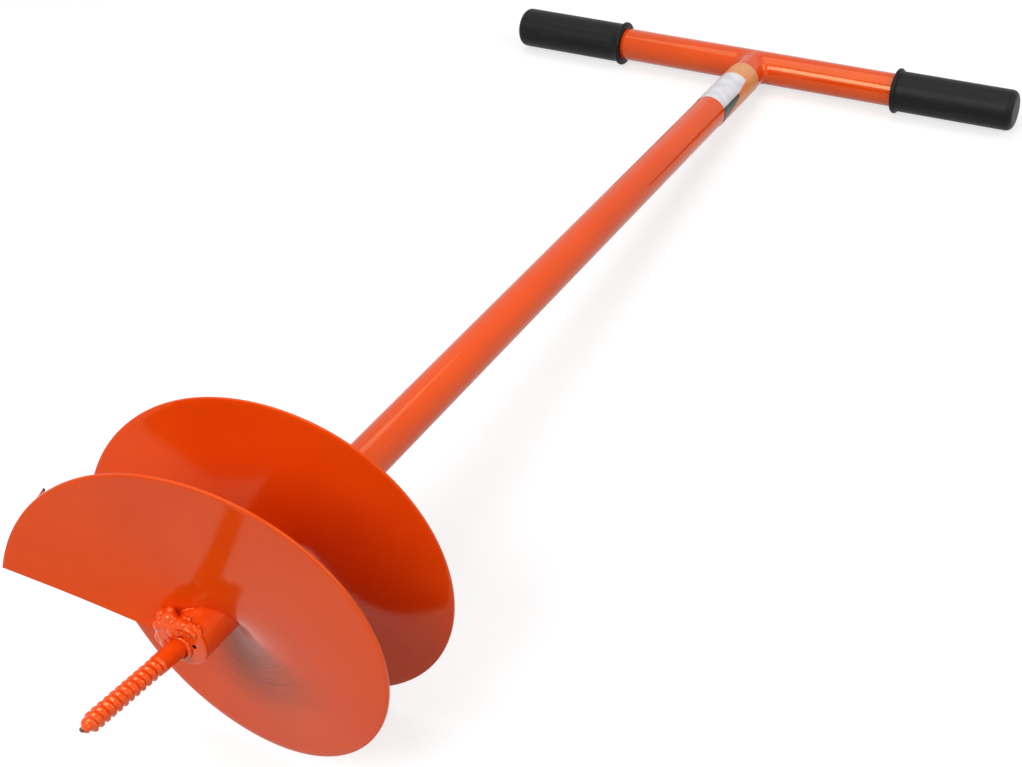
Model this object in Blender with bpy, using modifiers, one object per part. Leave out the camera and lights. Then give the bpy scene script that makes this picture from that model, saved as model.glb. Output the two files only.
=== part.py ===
"""Hand earth auger: a welded garden tool with a T handle, a stretched sheet-steel flight and a screw point.

The tool is modelled in its own frame: +Z runs up the shaft to the handle, z = 0 is the shaft's lower end
and +X runs along the crossbar. An empty then lays the tool on the ground, where it rests on the beads of
both grips and on the rim of the flight. Lengths are in metres. A turn of the flight is counted from its
leading edge, and the flight is right-handed, so it climbs as its angle grows.
"""

import math

import bmesh
import bpy
import numpy as np
from mathutils import Matrix, Vector

# Clearance between two pieces that touch on the real tool
GAP = 0.0003

# Handle and shaft, both of one stock of round tube
TUBE_DIAMETER = 0.025
TUBE_WALL = 0.002
HANDLE_HEIGHT = 0.749
CROSSBAR_LENGTH = 0.401
CROSSBAR_OFFSET = 0.0015
HANDLE_BEAD_RADIUS = 0.0024
HANDLE_BEAD_OFFSET = 0.0006
HANDLE_BEAD_SADDLE = 0.004

# Grips
GRIP_LENGTH = 0.092
GRIP_WALL = 0.0024
GRIP_END_WALL = 0.003
GRIP_END_ROUNDING = 0.0065
GRIP_BEAD_RADIUS = 0.0019

# Label
LABEL_DROP = 0.0105
LABEL_HEIGHT = 0.069
LABEL_WIDTH = 0.062
LABEL_THICKNESS = 0.0003
LABEL_CENTRE_ANGLE = math.radians(-54)

# Flight: two rings of sheet, each cut, stretched and joined end to end. A swell's profile gives the share
# of the swell at a share of the flight's length.
FLIGHT_DIAMETER = 0.200
SHEET_THICKNESS = 0.0015
RING_TURN = 0.975
LEADING_ANGLE = math.radians(-165.8)
RIM_DROP = 0.0144
RIM_PITCH = 0.0622
RIM_SWELL = 0.015
RIM_SWELL_PROFILE = {0.0: 0.0, 0.05: -0.05, 0.1: 0.03, 0.2: 0.57, 0.3: 0.72, 0.4: 1.01, 0.44: 0.97, 0.5: 0.53,
                     0.6: 0.51, 0.7: 0.84, 0.8: 0.65, 0.9: 0.24, 1.0: 0.0}
ROOT_START = 0.006
ROOT_PITCH = 0.040
ROOT_PITCH_GAIN = 0.0054
ROOT_SWELL = 0.0092
ROOT_SWELL_PROFILE = {0.0: 0.0, 0.29: 0.0, 0.41: 0.5, 0.51: 0.85, 0.62: 1.0, 0.72: 0.93, 0.82: 0.48, 1.0: 0.0}
LEADING_SKEW = 0.005
LEADING_BOW = 0.0009

# Welds of the flight
BEAD_RADIUS = 0.0015
STITCHES_PER_RING = 4
STITCH_TURN = 0.12
SEAM_RIM_MARGIN = 0.002

# Side cutter: a plate that stands on the rim behind the leading corner
SIDE_CUTTER_TURN = 0.055
SIDE_CUTTER_LENGTH = 0.018
SIDE_CUTTER_HEIGHT = 0.011
SIDE_CUTTER_PROUD = 0.0004

# Point: end cap and coach screw
CAP_THICKNESS = 0.003
CAP_ROUNDING = 0.0008
VENT_DIAMETER = 0.0016
VENT_OFFSET = (0.0057, -0.0005)
PILOT_LENGTH = 0.071
PILOT_STUB = 0.010
PILOT_DIAMETER = 0.0105
PILOT_THREAD_LENGTH = 0.054
PILOT_THREAD_DIAMETER = 0.0100
PILOT_TIP_LENGTH = 0.008
PILOT_OFFSET = (-0.0036, 0.0027)
PILOT_LEAN = math.radians(3.9)
PILOT_LEAN_DIRECTION = math.radians(-133)
PILOT_WELD_WIDTH = 0.0022
PILOT_WELD_HEIGHT = 0.0026

# Weld pile at the nose: lumps along the sheet's root and over the cap's edge
NOSE_VOXEL = 0.0009
ROOT_LUMPS = 9
ROOT_LUMP_RADIUS = 0.0034
ROOT_LUMP_STAND = 0.0032
ROOT_PILE_START = -0.075
ROOT_PILE_END = 0.045
LAST_LUMP_TURN = 0.068
LAST_LUMP_RADIUS = 0.0024
EDGE_LUMPS = 15
EDGE_LUMP_RADIUS = 0.0028
EDGE_LUMP_TAPER = 0.45
EDGE_LUMP_INSET = 0.0012
EDGE_PILE_START = math.radians(160)
EDGE_PILE_END = math.radians(308)

# Fineness of round shapes
FACETS_ROUND = 48
FACETS_SMALL = 24
FACETS_PER_TURN = 72
FACETS_ACROSS_SHEET = 5
FACETS_CORNER = 5

ORANGE = (0.90, 0.16, 0.02, 1.0)
BLACK = (0.021, 0.023, 0.026, 1.0)
LABEL_WHITE = (0.80, 0.80, 0.83, 1.0)

TUBE_RADIUS = TUBE_DIAMETER / 2
BORE_RADIUS = TUBE_RADIUS - TUBE_WALL
FLIGHT_RADIUS = FLIGHT_DIAMETER / 2
FLIGHT_TURNS = 2 * RING_TURN
GRIP_RADIUS = TUBE_RADIUS + GAP + GRIP_WALL
GRIP_BEAD_OUTER_RADIUS = GRIP_RADIUS + GRIP_BEAD_RADIUS


# Scene and object helpers

def clear_scene():
    """Remove every object, so that the file holds only the auger."""
    for item in list(bpy.data.objects):
        bpy.data.objects.remove(item, do_unlink=True)


def new_collection(name):
    """Return a new collection, linked to the scene."""
    collection = bpy.data.collections.new(name)
    bpy.context.scene.collection.children.link(collection)
    return collection


def new_material(name, colour, roughness, metallic=0.0):
    """Return a Principled material of one colour."""
    material = bpy.data.materials.new(name)
    material.use_nodes = True
    shader = material.node_tree.nodes["Principled BSDF"]
    shader.inputs["Base Color"].default_value = colour
    shader.inputs["Roughness"].default_value = roughness
    shader.inputs["Metallic"].default_value = metallic
    return material


def add_object(name, data, collection, material=None):
    """Link a new object for a mesh or curve and give it its material."""
    item = bpy.data.objects.new(name, data)
    collection.objects.link(item)
    if material is not None:
        data.materials.append(material)
    return item


def mesh_from(bm, name):
    """Turn a bmesh into a smooth-shaded mesh whose edges over 35 degrees stay sharp."""
    mesh = bpy.data.meshes.new(name)
    bm.to_mesh(mesh)
    bm.free()
    mesh.shade_smooth()
    mesh.set_sharp_from_angle(angle=math.radians(35))
    return mesh


def hide_as_cutter(item):
    """Show an object as a wire cutter that isn't part of the auger."""
    item.hide_render = True
    item.display_type = "WIRE"
    return item


def cut(item, cutter):
    """Take a cutter away from an object."""
    modifier = item.modifiers.new("cut_" + cutter.name, "BOOLEAN")
    modifier.operation = "DIFFERENCE"
    modifier.solver = "EXACT"
    modifier.object = cutter


# Shape helpers

def corner(centre, radius, start, end, facets=FACETS_CORNER):
    """Points of an arc in a profile, as (radius, height) pairs."""
    angles = [start + (end - start) * step / facets for step in range(facets + 1)]
    return [(centre[0] + radius * math.cos(a), centre[1] + radius * math.sin(a)) for a in angles]


def turned(name, profile, collection, material=None, closed=False, facets=FACETS_ROUND):
    """Revolve a profile of (radius, height) points about Z. It runs down its outer side."""
    bm = bmesh.new()
    points = [bm.verts.new((radius, 0, height)) for radius, height in profile]
    for first, second in zip(points, points[1:]):
        bm.edges.new((first, second))
    if closed:
        bm.edges.new((points[-1], points[0]))
    mesh = bpy.data.meshes.new(name)
    bm.to_mesh(mesh)
    bm.free()
    item = add_object(name, mesh, collection, material)
    screw = item.modifiers.new("turn", "SCREW")
    screw.steps = facets
    screw.render_steps = facets
    screw.use_merge_vertices = True
    screw.merge_threshold = 0.00001
    screw.use_smooth_shade = True
    return item


def round_bar(name, radius, bottom, top, collection, material=None, facets=FACETS_ROUND):
    """A cylinder on Z between two heights."""
    bm = bmesh.new()
    lift = Matrix.Translation((0, 0, (bottom + top) / 2))
    bmesh.ops.create_cone(bm, cap_ends=True, segments=facets, radius1=radius, radius2=radius,
                          depth=top - bottom, matrix=lift)
    return add_object(name, mesh_from(bm, name), collection, material)


def bead(name, path, radius, collection, material, cyclic=False):
    """Weld bead: a round tube with filled ends along a path."""
    curve = bpy.data.curves.new(name, "CURVE")
    curve.dimensions = "3D"
    curve.bevel_depth = radius
    curve.bevel_resolution = 2
    curve.use_fill_caps = True
    spline = curve.splines.new("POLY")
    spline.points.add(len(path) - 1)
    for point, place in zip(spline.points, path):
        point.co = (*place, 1)
    spline.use_cyclic_u = cyclic
    return add_object(name, curve, collection, material)


def as_mesh(item, collection):
    """Replace a curve object by a mesh with welded caps, so that it can be cut."""
    evaluated = item.evaluated_get(bpy.context.evaluated_depsgraph_get())
    mesh = bpy.data.meshes.new_from_object(evaluated)
    bm = bmesh.new()
    bm.from_mesh(mesh)
    bmesh.ops.remove_doubles(bm, verts=bm.verts, dist=0.00001)
    bm.to_mesh(mesh)
    bm.free()
    name = item.name
    place = item.matrix_world.copy()
    bpy.data.objects.remove(item, do_unlink=True)
    solid = add_object(name, mesh, collection)
    solid.matrix_world = place
    return solid


# Flight surface

def swell_height(turn, swell, profile):
    """Height of a swell at a turn, on a smooth curve through its profile."""
    station = turn / FLIGHT_TURNS
    stations = np.array(list(profile))
    heights = swell * np.array(list(profile.values()))
    slopes = np.gradient(heights, stations)
    index = int(np.clip(np.searchsorted(stations, station, side="right") - 1, 0, len(stations) - 2))
    width = stations[index + 1] - stations[index]
    share = (station - stations[index]) / width
    start, end = heights[index:index + 2]
    start_slope, end_slope = slopes[index:index + 2] * width
    return float((2 * share**3 - 3 * share**2 + 1) * start + (share**3 - 2 * share**2 + share) * start_slope
                 + (3 * share**2 - 2 * share**3) * end + (share**3 - share**2) * end_slope)


def rim_height(turn):
    """Height of the sheet's underside at the rim: an even climb plus the swell of the stretched rings."""
    return -RIM_DROP + RIM_PITCH * turn + swell_height(turn, RIM_SWELL, RIM_SWELL_PROFILE)


def root_height(turn):
    """Height of the sheet's underside where it meets the shaft."""
    climb = ROOT_START + ROOT_PITCH * turn + ROOT_PITCH_GAIN * turn**2
    return climb + swell_height(turn, ROOT_SWELL, ROOT_SWELL_PROFILE)


def sheet_point(turn, radius, lift=0.0):
    """Point of the sheet's underside, lifted along the sheet's upward normal."""
    point = underside_point(turn, radius)
    if lift == 0.0:
        return point
    step = 0.001
    along = underside_point(turn + step, radius) - underside_point(turn - step, radius)
    inward = underside_point(turn, radius - step) - underside_point(turn, radius + step)
    return point + along.cross(inward).normalized() * lift


def underside_point(turn, radius):
    """Point of the sheet's underside. Straight lines run from the shaft to the rim."""
    share = (radius - TUBE_RADIUS) / (FLIGHT_RADIUS - TUBE_RADIUS)
    height = root_height(turn) + (rim_height(turn) - root_height(turn)) * share
    angle = LEADING_ANGLE + 2 * math.pi * turn
    return Vector((radius * math.cos(angle), radius * math.sin(angle), height))


def leading_reach(across):
    """How far the leading edge runs ahead of its radius: skewed to the shaft and bowed near the root."""
    bow = across * (1 - across)**4 / (0.2 * 0.8**4)
    return LEADING_SKEW * (1 - across) + LEADING_BOW * bow


def straight_reach(across):
    """A radial edge that runs nowhere ahead."""
    return 0.0


def sheet_ring(name, start, end, collection, material=None, start_trim=0.0, end_trim=0.0,
               reach=straight_reach, clearance=0.0, thickness=SHEET_THICKNESS):
    """One ring of the flight: a flat grid, wrapped round the shaft and thickened upwards.

    A trim takes the same width off the whole radial edge, and a reach lets the first edge run ahead by a
    width that depends on the place across the sheet. A clearance grows the sheet on both faces and past
    both edges, for a cutter.
    """
    inner_radius = TUBE_RADIUS - TUBE_WALL / 2
    outer_radius = FLIGHT_RADIUS + clearance
    columns = max(2, round((end - start) * FACETS_PER_TURN))
    bm = bmesh.new()
    bmesh.ops.create_grid(bm, x_segments=columns, y_segments=FACETS_ACROSS_SHEET, size=0.5)
    for vert in bm.verts:
        along = vert.co.x + 0.5
        across = 0.5 - vert.co.y
        radius = inner_radius + (outer_radius - inner_radius) * across
        circumference = 2 * math.pi * radius
        first = start + (start_trim - clearance - reach(across)) / circumference
        last = end - (end_trim - clearance) / circumference
        vert.co = sheet_point(first + (last - first) * along, radius, -clearance)
    item = add_object(name, mesh_from(bm, name), collection, material)
    solidify = item.modifiers.new("sheet", "SOLIDIFY")
    solidify.thickness = thickness + 2 * clearance
    solidify.offset = 1
    solidify.use_even_offset = True
    return item


# Pieces

def build_tubes(parts, cutters, steel):
    """Shaft and crossbar, with the shaft's top coped to the crossbar."""
    shaft_bottom = CAP_THICKNESS + GAP
    section = [(TUBE_RADIUS, HANDLE_HEIGHT), (TUBE_RADIUS, shaft_bottom),
               (BORE_RADIUS, shaft_bottom), (BORE_RADIUS, HANDLE_HEIGHT)]
    shaft = turned("shaft_tube", section, parts, steel, closed=True)
    half = CROSSBAR_LENGTH / 2
    section = [(TUBE_RADIUS, half), (TUBE_RADIUS, -half), (BORE_RADIUS, -half), (BORE_RADIUS, half)]
    crossbar = turned("crossbar_tube", section, parts, steel, closed=True)
    crossbar.location = (CROSSBAR_OFFSET, 0, HANDLE_HEIGHT)
    crossbar.rotation_euler = (0, math.pi / 2, 0)
    reach = TUBE_DIAMETER
    cope = round_bar("crossbar_envelope", TUBE_RADIUS + GAP, -reach, reach, cutters)
    cope.location = (0, 0, HANDLE_HEIGHT)
    cope.rotation_euler = crossbar.rotation_euler
    hide_as_cutter(cope)
    cut(shaft, cope)
    return cope


def build_handle_weld(parts, cutters, steel, cope):
    """Saddle-shaped fillet weld round the joint of shaft and crossbar."""
    reach = TUBE_RADIUS + HANDLE_BEAD_OFFSET
    path = []
    for step in range(FACETS_ROUND):
        angle = 2 * math.pi * step / FACETS_ROUND
        fall = math.hypot(reach * math.cos(angle), HANDLE_BEAD_SADDLE)
        path.append((reach * math.cos(angle), reach * math.sin(angle), HANDLE_HEIGHT - fall))
    curve = bead("handle_weld", path, HANDLE_BEAD_RADIUS, parts, steel, cyclic=True)
    weld = as_mesh(curve, parts)
    envelope = round_bar("shaft_envelope", TUBE_RADIUS + GAP, HANDLE_HEIGHT - 2 * TUBE_DIAMETER,
                         HANDLE_HEIGHT - TUBE_WALL, cutters)
    hide_as_cutter(envelope)
    cut(weld, cope)
    cut(weld, envelope)


def build_grips(parts, plastic):
    """Two push-on grips: a closed round end, a plain sleeve and a rolled bead at the mouth."""
    top = GRIP_END_WALL + GAP
    mouth = top - GRIP_LENGTH
    inner = TUBE_RADIUS + GAP
    profile = [(0, top)]
    profile += corner((GRIP_RADIUS - GRIP_END_ROUNDING, top - GRIP_END_ROUNDING), GRIP_END_ROUNDING,
                      math.pi / 2, 0)
    profile += corner((GRIP_RADIUS, mouth + GRIP_BEAD_RADIUS), GRIP_BEAD_RADIUS,
                      math.pi / 2, -math.pi / 2, 2 * FACETS_CORNER)
    profile += [(inner, mouth), (inner, GAP), (0, GAP)]
    for name, side in (("grip_left", -1), ("grip_right", 1)):
        grip = turned(name, profile, parts, plastic)
        grip.location = (CROSSBAR_OFFSET + side * CROSSBAR_LENGTH / 2, 0, HANDLE_HEIGHT)
        grip.rotation_euler = (0, side * math.pi / 2, 0)


def build_label(parts, vinyl):
    """Thin sticker wrapped round the top of the shaft."""
    radius = TUBE_RADIUS + GAP
    span = LABEL_WIDTH / radius
    top = HANDLE_HEIGHT - TUBE_RADIUS - LABEL_DROP
    bm = bmesh.new()
    bmesh.ops.create_grid(bm, x_segments=FACETS_SMALL, y_segments=1, size=0.5)
    for vert in bm.verts:
        angle = LABEL_CENTRE_ANGLE + vert.co.x * span
        height = top - (0.5 - vert.co.y) * LABEL_HEIGHT
        vert.co = (radius * math.cos(angle), radius * math.sin(angle), height)
    label = add_object("label", mesh_from(bm, "label"), parts, vinyl)
    solidify = label.modifiers.new("vinyl", "SOLIDIFY")
    solidify.thickness = LABEL_THICKNESS
    solidify.offset = 1


def build_flight(parts, cutters, steel):
    """Both rings of the flight, bored to the shaft, with a weld-wide slot between them."""
    slot_half = BEAD_RADIUS + GAP
    lower = sheet_ring("lower_flight", 0, RING_TURN, parts, steel, end_trim=slot_half, reach=leading_reach)
    upper = sheet_ring("upper_flight", RING_TURN, FLIGHT_TURNS, parts, steel, start_trim=slot_half)
    low = min(rim_height(0), root_height(0)) - TUBE_DIAMETER
    high = max(rim_height(FLIGHT_TURNS), root_height(FLIGHT_TURNS)) + TUBE_DIAMETER
    bore = round_bar("flight_bore", TUBE_RADIUS + GAP, low, high, cutters)
    hide_as_cutter(bore)
    cut(lower, bore)
    cut(upper, bore)


def build_flight_welds(parts, steel):
    """Radial bead in the seam of the rings, and stitch beads on the upper face along the shaft."""
    seam_start = TUBE_RADIUS + GAP + BEAD_RADIUS
    seam_end = FLIGHT_RADIUS - SEAM_RIM_MARGIN
    seam = []
    for step in range(FACETS_ACROSS_SHEET + 1):
        radius = seam_start + (seam_end - seam_start) * step / FACETS_ACROSS_SHEET
        seam.append(sheet_point(RING_TURN, radius, SHEET_THICKNESS / 2))
    bead("flight_seam_weld", seam, BEAD_RADIUS, parts, steel)
    lift = SHEET_THICKNESS + GAP + BEAD_RADIUS
    radius = TUBE_RADIUS + GAP + BEAD_RADIUS
    for ring, name in enumerate(("lower_flight_weld", "upper_flight_weld")):
        for stitch in range(STITCHES_PER_RING):
            middle = RING_TURN * (ring + (stitch + 0.5) / STITCHES_PER_RING)
            turns = np.linspace(middle - STITCH_TURN / 2, middle + STITCH_TURN / 2, 7)
            path = [sheet_point(turn, radius, lift) for turn in turns]
            bead(f"{name}_{stitch + 1}", path, BEAD_RADIUS, parts, steel)


def build_side_cutter(parts, cutters, steel, sheet_envelope):
    """Plate that stands on the rim, square to the radius at its near end, and the bead at its foot."""
    angle = LEADING_ANGLE + 2 * math.pi * SIDE_CUTTER_TURN
    outer = FLIGHT_RADIUS + SIDE_CUTTER_PROUD
    foot = rim_height(SIDE_CUTTER_TURN)
    height = SIDE_CUTTER_HEIGHT + SHEET_THICKNESS
    bm = bmesh.new()
    bmesh.ops.create_cube(bm, size=1)
    bmesh.ops.scale(bm, verts=bm.verts, vec=(SHEET_THICKNESS, SIDE_CUTTER_LENGTH, height))
    bmesh.ops.translate(bm, verts=bm.verts, vec=(outer - SHEET_THICKNESS / 2, SIDE_CUTTER_LENGTH / 2,
                                                 foot + height / 2))
    plate = add_object("side_cutter", mesh_from(bm, "side_cutter"), parts, steel)
    plate.rotation_euler = (0, 0, angle)
    cut(plate, sheet_envelope)
    lift = SHEET_THICKNESS + GAP + BEAD_RADIUS
    fall = root_height(SIDE_CUTTER_TURN) - foot
    tilt = fall / (FLIGHT_RADIUS - TUBE_RADIUS)
    reach = outer - SHEET_THICKNESS - GAP - BEAD_RADIUS - lift * tilt
    ends = (SIDE_CUTTER_TURN, SIDE_CUTTER_TURN + SIDE_CUTTER_LENGTH / (2 * math.pi * FLIGHT_RADIUS))
    path = [sheet_point(turn, reach, lift) for turn in np.linspace(*ends, 5)]
    bead("side_cutter_weld", path, BEAD_RADIUS, parts, steel)


def pilot_frame():
    """Placement of the leaning coach screw: origin on the cap's lower face, -Z towards the tip."""
    lean_axis = Vector((-math.sin(PILOT_LEAN_DIRECTION), math.cos(PILOT_LEAN_DIRECTION), 0))
    return Matrix.Translation((*PILOT_OFFSET, 0)) @ Matrix.Rotation(-PILOT_LEAN, 4, lean_axis)


def build_point(parts, cutters, steel):
    """End cap with its vent, the leaning coach screw and the weld ring round its neck."""
    profile = [(0, CAP_THICKNESS), (TUBE_RADIUS, CAP_THICKNESS)]
    profile += corner((TUBE_RADIUS - CAP_ROUNDING, CAP_ROUNDING), CAP_ROUNDING, 0, -math.pi / 2)
    profile += [(0, 0)]
    cap = turned("end_cap", profile, parts, steel)
    radius = PILOT_DIAMETER / 2
    thread_radius = PILOT_THREAD_DIAMETER / 2
    shoulder = PILOT_THREAD_LENGTH - PILOT_LENGTH
    profile = [(0, PILOT_STUB), (radius, PILOT_STUB), (radius, shoulder),
               (thread_radius, shoulder - (radius - thread_radius)),
               (thread_radius, PILOT_TIP_LENGTH - PILOT_LENGTH), (0, -PILOT_LENGTH)]
    screw = turned("pilot_screw", profile, parts, steel, facets=FACETS_SMALL)
    screw.matrix_world = pilot_frame()
    hole = round_bar("pilot_hole", radius + GAP, -PILOT_LENGTH, 2 * PILOT_STUB, cutters, facets=FACETS_SMALL)
    hole.matrix_world = pilot_frame()
    hide_as_cutter(hole)
    vent = round_bar("vent_hole", VENT_DIAMETER / 2, -CAP_THICKNESS, 2 * CAP_THICKNESS, cutters, facets=12)
    vent.location = (*VENT_OFFSET, 0)
    hide_as_cutter(vent)
    cut(cap, hole)
    cut(cap, vent)
    build_pilot_weld("pilot_weld", 0, parts, steel, hole)
    envelope = build_pilot_weld("pilot_weld_envelope", GAP, cutters, None, hole)
    hide_as_cutter(envelope)
    return hole, envelope


def build_pilot_weld(name, clearance, collection, material, hole):
    """Cone-shaped weld ring round the screw's neck. A clearance grows it, for a cutter."""
    foot = PILOT_DIAMETER / 2 + GAP + PILOT_WELD_WIDTH + clearance
    neck = PILOT_DIAMETER / 2 + GAP + PILOT_WELD_WIDTH / 4 + clearance
    top = -GAP + clearance
    bottom = -GAP - PILOT_WELD_HEIGHT - clearance
    profile = [(0, top), (foot, top), (foot, top - PILOT_WELD_HEIGHT / 4 - clearance)]
    profile += [(neck, bottom), (0, bottom)]
    weld = turned(name, profile, collection, material, facets=FACETS_SMALL)
    weld.location = (*PILOT_OFFSET, 0)
    if clearance == 0:
        cut(weld, hole)
    return weld


def nose_lumps():
    """Centre and radius of each lump of the nose weld."""
    last = sheet_point(LAST_LUMP_TURN, TUBE_RADIUS + ROOT_LUMP_STAND, -LAST_LUMP_RADIUS)
    lumps = [(last, LAST_LUMP_RADIUS)]
    for step in range(ROOT_LUMPS):
        turn = ROOT_PILE_START + (ROOT_PILE_END - ROOT_PILE_START) * step / (ROOT_LUMPS - 1)
        stand = ROOT_LUMP_STAND * (1 + step % 2) / 2
        lumps.append((sheet_point(turn, TUBE_RADIUS + stand, -ROOT_LUMP_RADIUS / 2), ROOT_LUMP_RADIUS))
    for step in range(EDGE_LUMPS):
        share = step / (EDGE_LUMPS - 1)
        angle = EDGE_PILE_START + (EDGE_PILE_END - EDGE_PILE_START) * share
        radius = EDGE_LUMP_RADIUS * (1 - EDGE_LUMP_TAPER * share)
        reach = TUBE_RADIUS - EDGE_LUMP_INSET
        lumps.append((Vector((reach * math.cos(angle), reach * math.sin(angle), -radius / 4)), radius))
    return lumps


def build_nose_weld(parts, cutters, steel, envelopes):
    """Pile of weld lumps where the leading edge, the shaft's end and the cap meet.

    Its cutters are the shaft's end, the sheet with all the room behind it, and the given envelopes.
    """
    bm = bmesh.new()
    for centre, radius in nose_lumps():
        bmesh.ops.create_icosphere(bm, subdivisions=2, radius=radius, matrix=Matrix.Translation(centre))
    weld = add_object("nose_weld", mesh_from(bm, "nose_weld"), parts, steel)
    remesh = weld.modifiers.new("pile", "REMESH")
    remesh.mode = "VOXEL"
    remesh.voxel_size = NOSE_VOXEL
    remesh.use_smooth_shade = True
    shaft_end = round_bar("shaft_end_envelope", TUBE_RADIUS + GAP, -GAP, 2 * TUBE_DIAMETER, cutters)
    hide_as_cutter(shaft_end)
    sheet_back = sheet_ring("sheet_back", 0, RING_TURN / 2, cutters, reach=leading_reach, clearance=GAP,
                            thickness=3 * ROOT_LUMP_RADIUS)
    hide_as_cutter(sheet_back)
    for envelope in (shaft_end, sheet_back, *envelopes):
        cut(weld, envelope)


# Pose on the ground

def resting_slope():
    """Angle at which the shaft falls towards the handle when the rim and the grips touch the ground."""
    turns = np.linspace(0, FLIGHT_TURNS, 1441)
    rim = [sheet_point(turn, FLIGHT_RADIUS, lift) for lift in (0.0, SHEET_THICKNESS) for turn in turns]

    def rim_clearance(slope):
        lowest_rim = min(-math.cos(slope) * p.y - math.sin(slope) * p.z for p in rim)
        lowest_grip = -math.sin(slope) * HANDLE_HEIGHT - GRIP_BEAD_OUTER_RADIUS
        return lowest_rim - lowest_grip

    low, high = 0.0, math.radians(45)
    for _ in range(40):
        middle = (low + high) / 2
        if rim_clearance(middle) < 0:
            low = middle
        else:
            high = middle
    return (low + high) / 2


def lay_down(parts):
    """Parent every piece to an empty that lays the tool on the ground, centred on the origin."""
    ground = bpy.data.objects.new("on_the_ground", None)
    bpy.context.scene.collection.objects.link(ground)
    ground.rotation_euler = (-math.pi / 2 - resting_slope(), 0, 0)
    for item in list(bpy.data.objects):
        if item is not ground:
            item.parent = ground
    bpy.context.view_layer.update()
    graph = bpy.context.evaluated_depsgraph_get()
    corners = []
    for item in parts.objects:
        evaluated = item.evaluated_get(graph)
        mesh = evaluated.to_mesh()
        corners += [evaluated.matrix_world @ vert.co for vert in mesh.vertices]
        evaluated.to_mesh_clear()
    points = np.array(corners)
    lowest = points.min(axis=0)
    highest = points.max(axis=0)
    middle = (lowest + highest) / 2
    ground.location = (-middle[0], -middle[1], -lowest[2])


def build_auger():
    """Build every piece of the auger and lay it on the ground."""
    clear_scene()
    parts = new_collection("hand_earth_auger")
    cutters = new_collection("cutters")
    steel = new_material("orange_paint", ORANGE, 0.28)
    plastic = new_material("black_pvc", BLACK, 0.45)
    vinyl = new_material("label_vinyl", LABEL_WHITE, 0.4)
    cope = build_tubes(parts, cutters, steel)
    build_handle_weld(parts, cutters, steel, cope)
    build_grips(parts, plastic)
    build_label(parts, vinyl)
    build_flight(parts, cutters, steel)
    build_flight_welds(parts, steel)
    sheet_envelope = sheet_ring("sheet_envelope", 0, RING_TURN, cutters, reach=leading_reach, clearance=GAP)
    hide_as_cutter(sheet_envelope)
    build_side_cutter(parts, cutters, steel, sheet_envelope)
    hole, pilot_weld_envelope = build_point(parts, cutters, steel)
    build_nose_weld(parts, cutters, steel, (hole, pilot_weld_envelope))
    lay_down(parts)


build_auger()
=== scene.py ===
"""Looks of the hand earth auger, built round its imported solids.

The auger is modelled in its own frame: +Z runs up the shaft to the handle, +X along the crossbar, and
z = 0 is the lower face of the shaft's end cap. Each finished piece is then laid on the ground, where its
solid lies. Lengths are in metres, and a turn of the flight is counted from its leading edge.
"""

import logging
import math
from dataclasses import dataclass, field
from enum import Enum
from typing import Callable, Optional, Sequence

import bpy
import numpy as np
from mathutils import Euler, Matrix, Vector, noise


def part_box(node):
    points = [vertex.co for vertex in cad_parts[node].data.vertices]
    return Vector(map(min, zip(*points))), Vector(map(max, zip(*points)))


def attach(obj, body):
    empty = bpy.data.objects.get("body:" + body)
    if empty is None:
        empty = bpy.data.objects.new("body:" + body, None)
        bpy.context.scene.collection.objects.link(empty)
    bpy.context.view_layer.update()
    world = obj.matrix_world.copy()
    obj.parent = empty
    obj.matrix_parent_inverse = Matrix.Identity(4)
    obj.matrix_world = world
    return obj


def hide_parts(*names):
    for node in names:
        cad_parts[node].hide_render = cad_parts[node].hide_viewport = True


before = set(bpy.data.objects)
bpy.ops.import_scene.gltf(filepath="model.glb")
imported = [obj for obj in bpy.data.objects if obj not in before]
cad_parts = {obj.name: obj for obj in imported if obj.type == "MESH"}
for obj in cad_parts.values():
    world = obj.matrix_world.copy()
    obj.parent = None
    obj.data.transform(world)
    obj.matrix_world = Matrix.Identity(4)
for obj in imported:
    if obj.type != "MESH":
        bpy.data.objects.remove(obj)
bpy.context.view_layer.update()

logging.basicConfig(level=logging.INFO, format="%(message)s")
LOG = logging.getLogger("auger")

Place = Callable[[float, float], Vector]
ShaderNode = bpy.types.Node
Socket = bpy.types.NodeSocket
Item = bpy.types.Object
Material = bpy.types.Material
Colour = tuple[float, float, float, float]
Triple = tuple[float, float, float]
Pair = tuple[float, float]
Ball = tuple[float, float, float, float]


class Slot(Enum):
    """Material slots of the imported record."""

    PAINT = "orange_paint"
    PVC = "black_pvc"
    VINYL = "label_vinyl"


@dataclass(frozen=True)
class Stock:
    """Sizes that several sub-assemblies share."""

    tube_radius: float = 0.0125
    tube_wall: float = 0.002
    sheet: float = 0.0015
    gap: float = 0.0003
    handle_height: float = 0.749
    crossbar_length: float = 0.401
    crossbar_offset: float = 0.0015
    cap_thickness: float = 0.003


STOCK = Stock()


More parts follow.
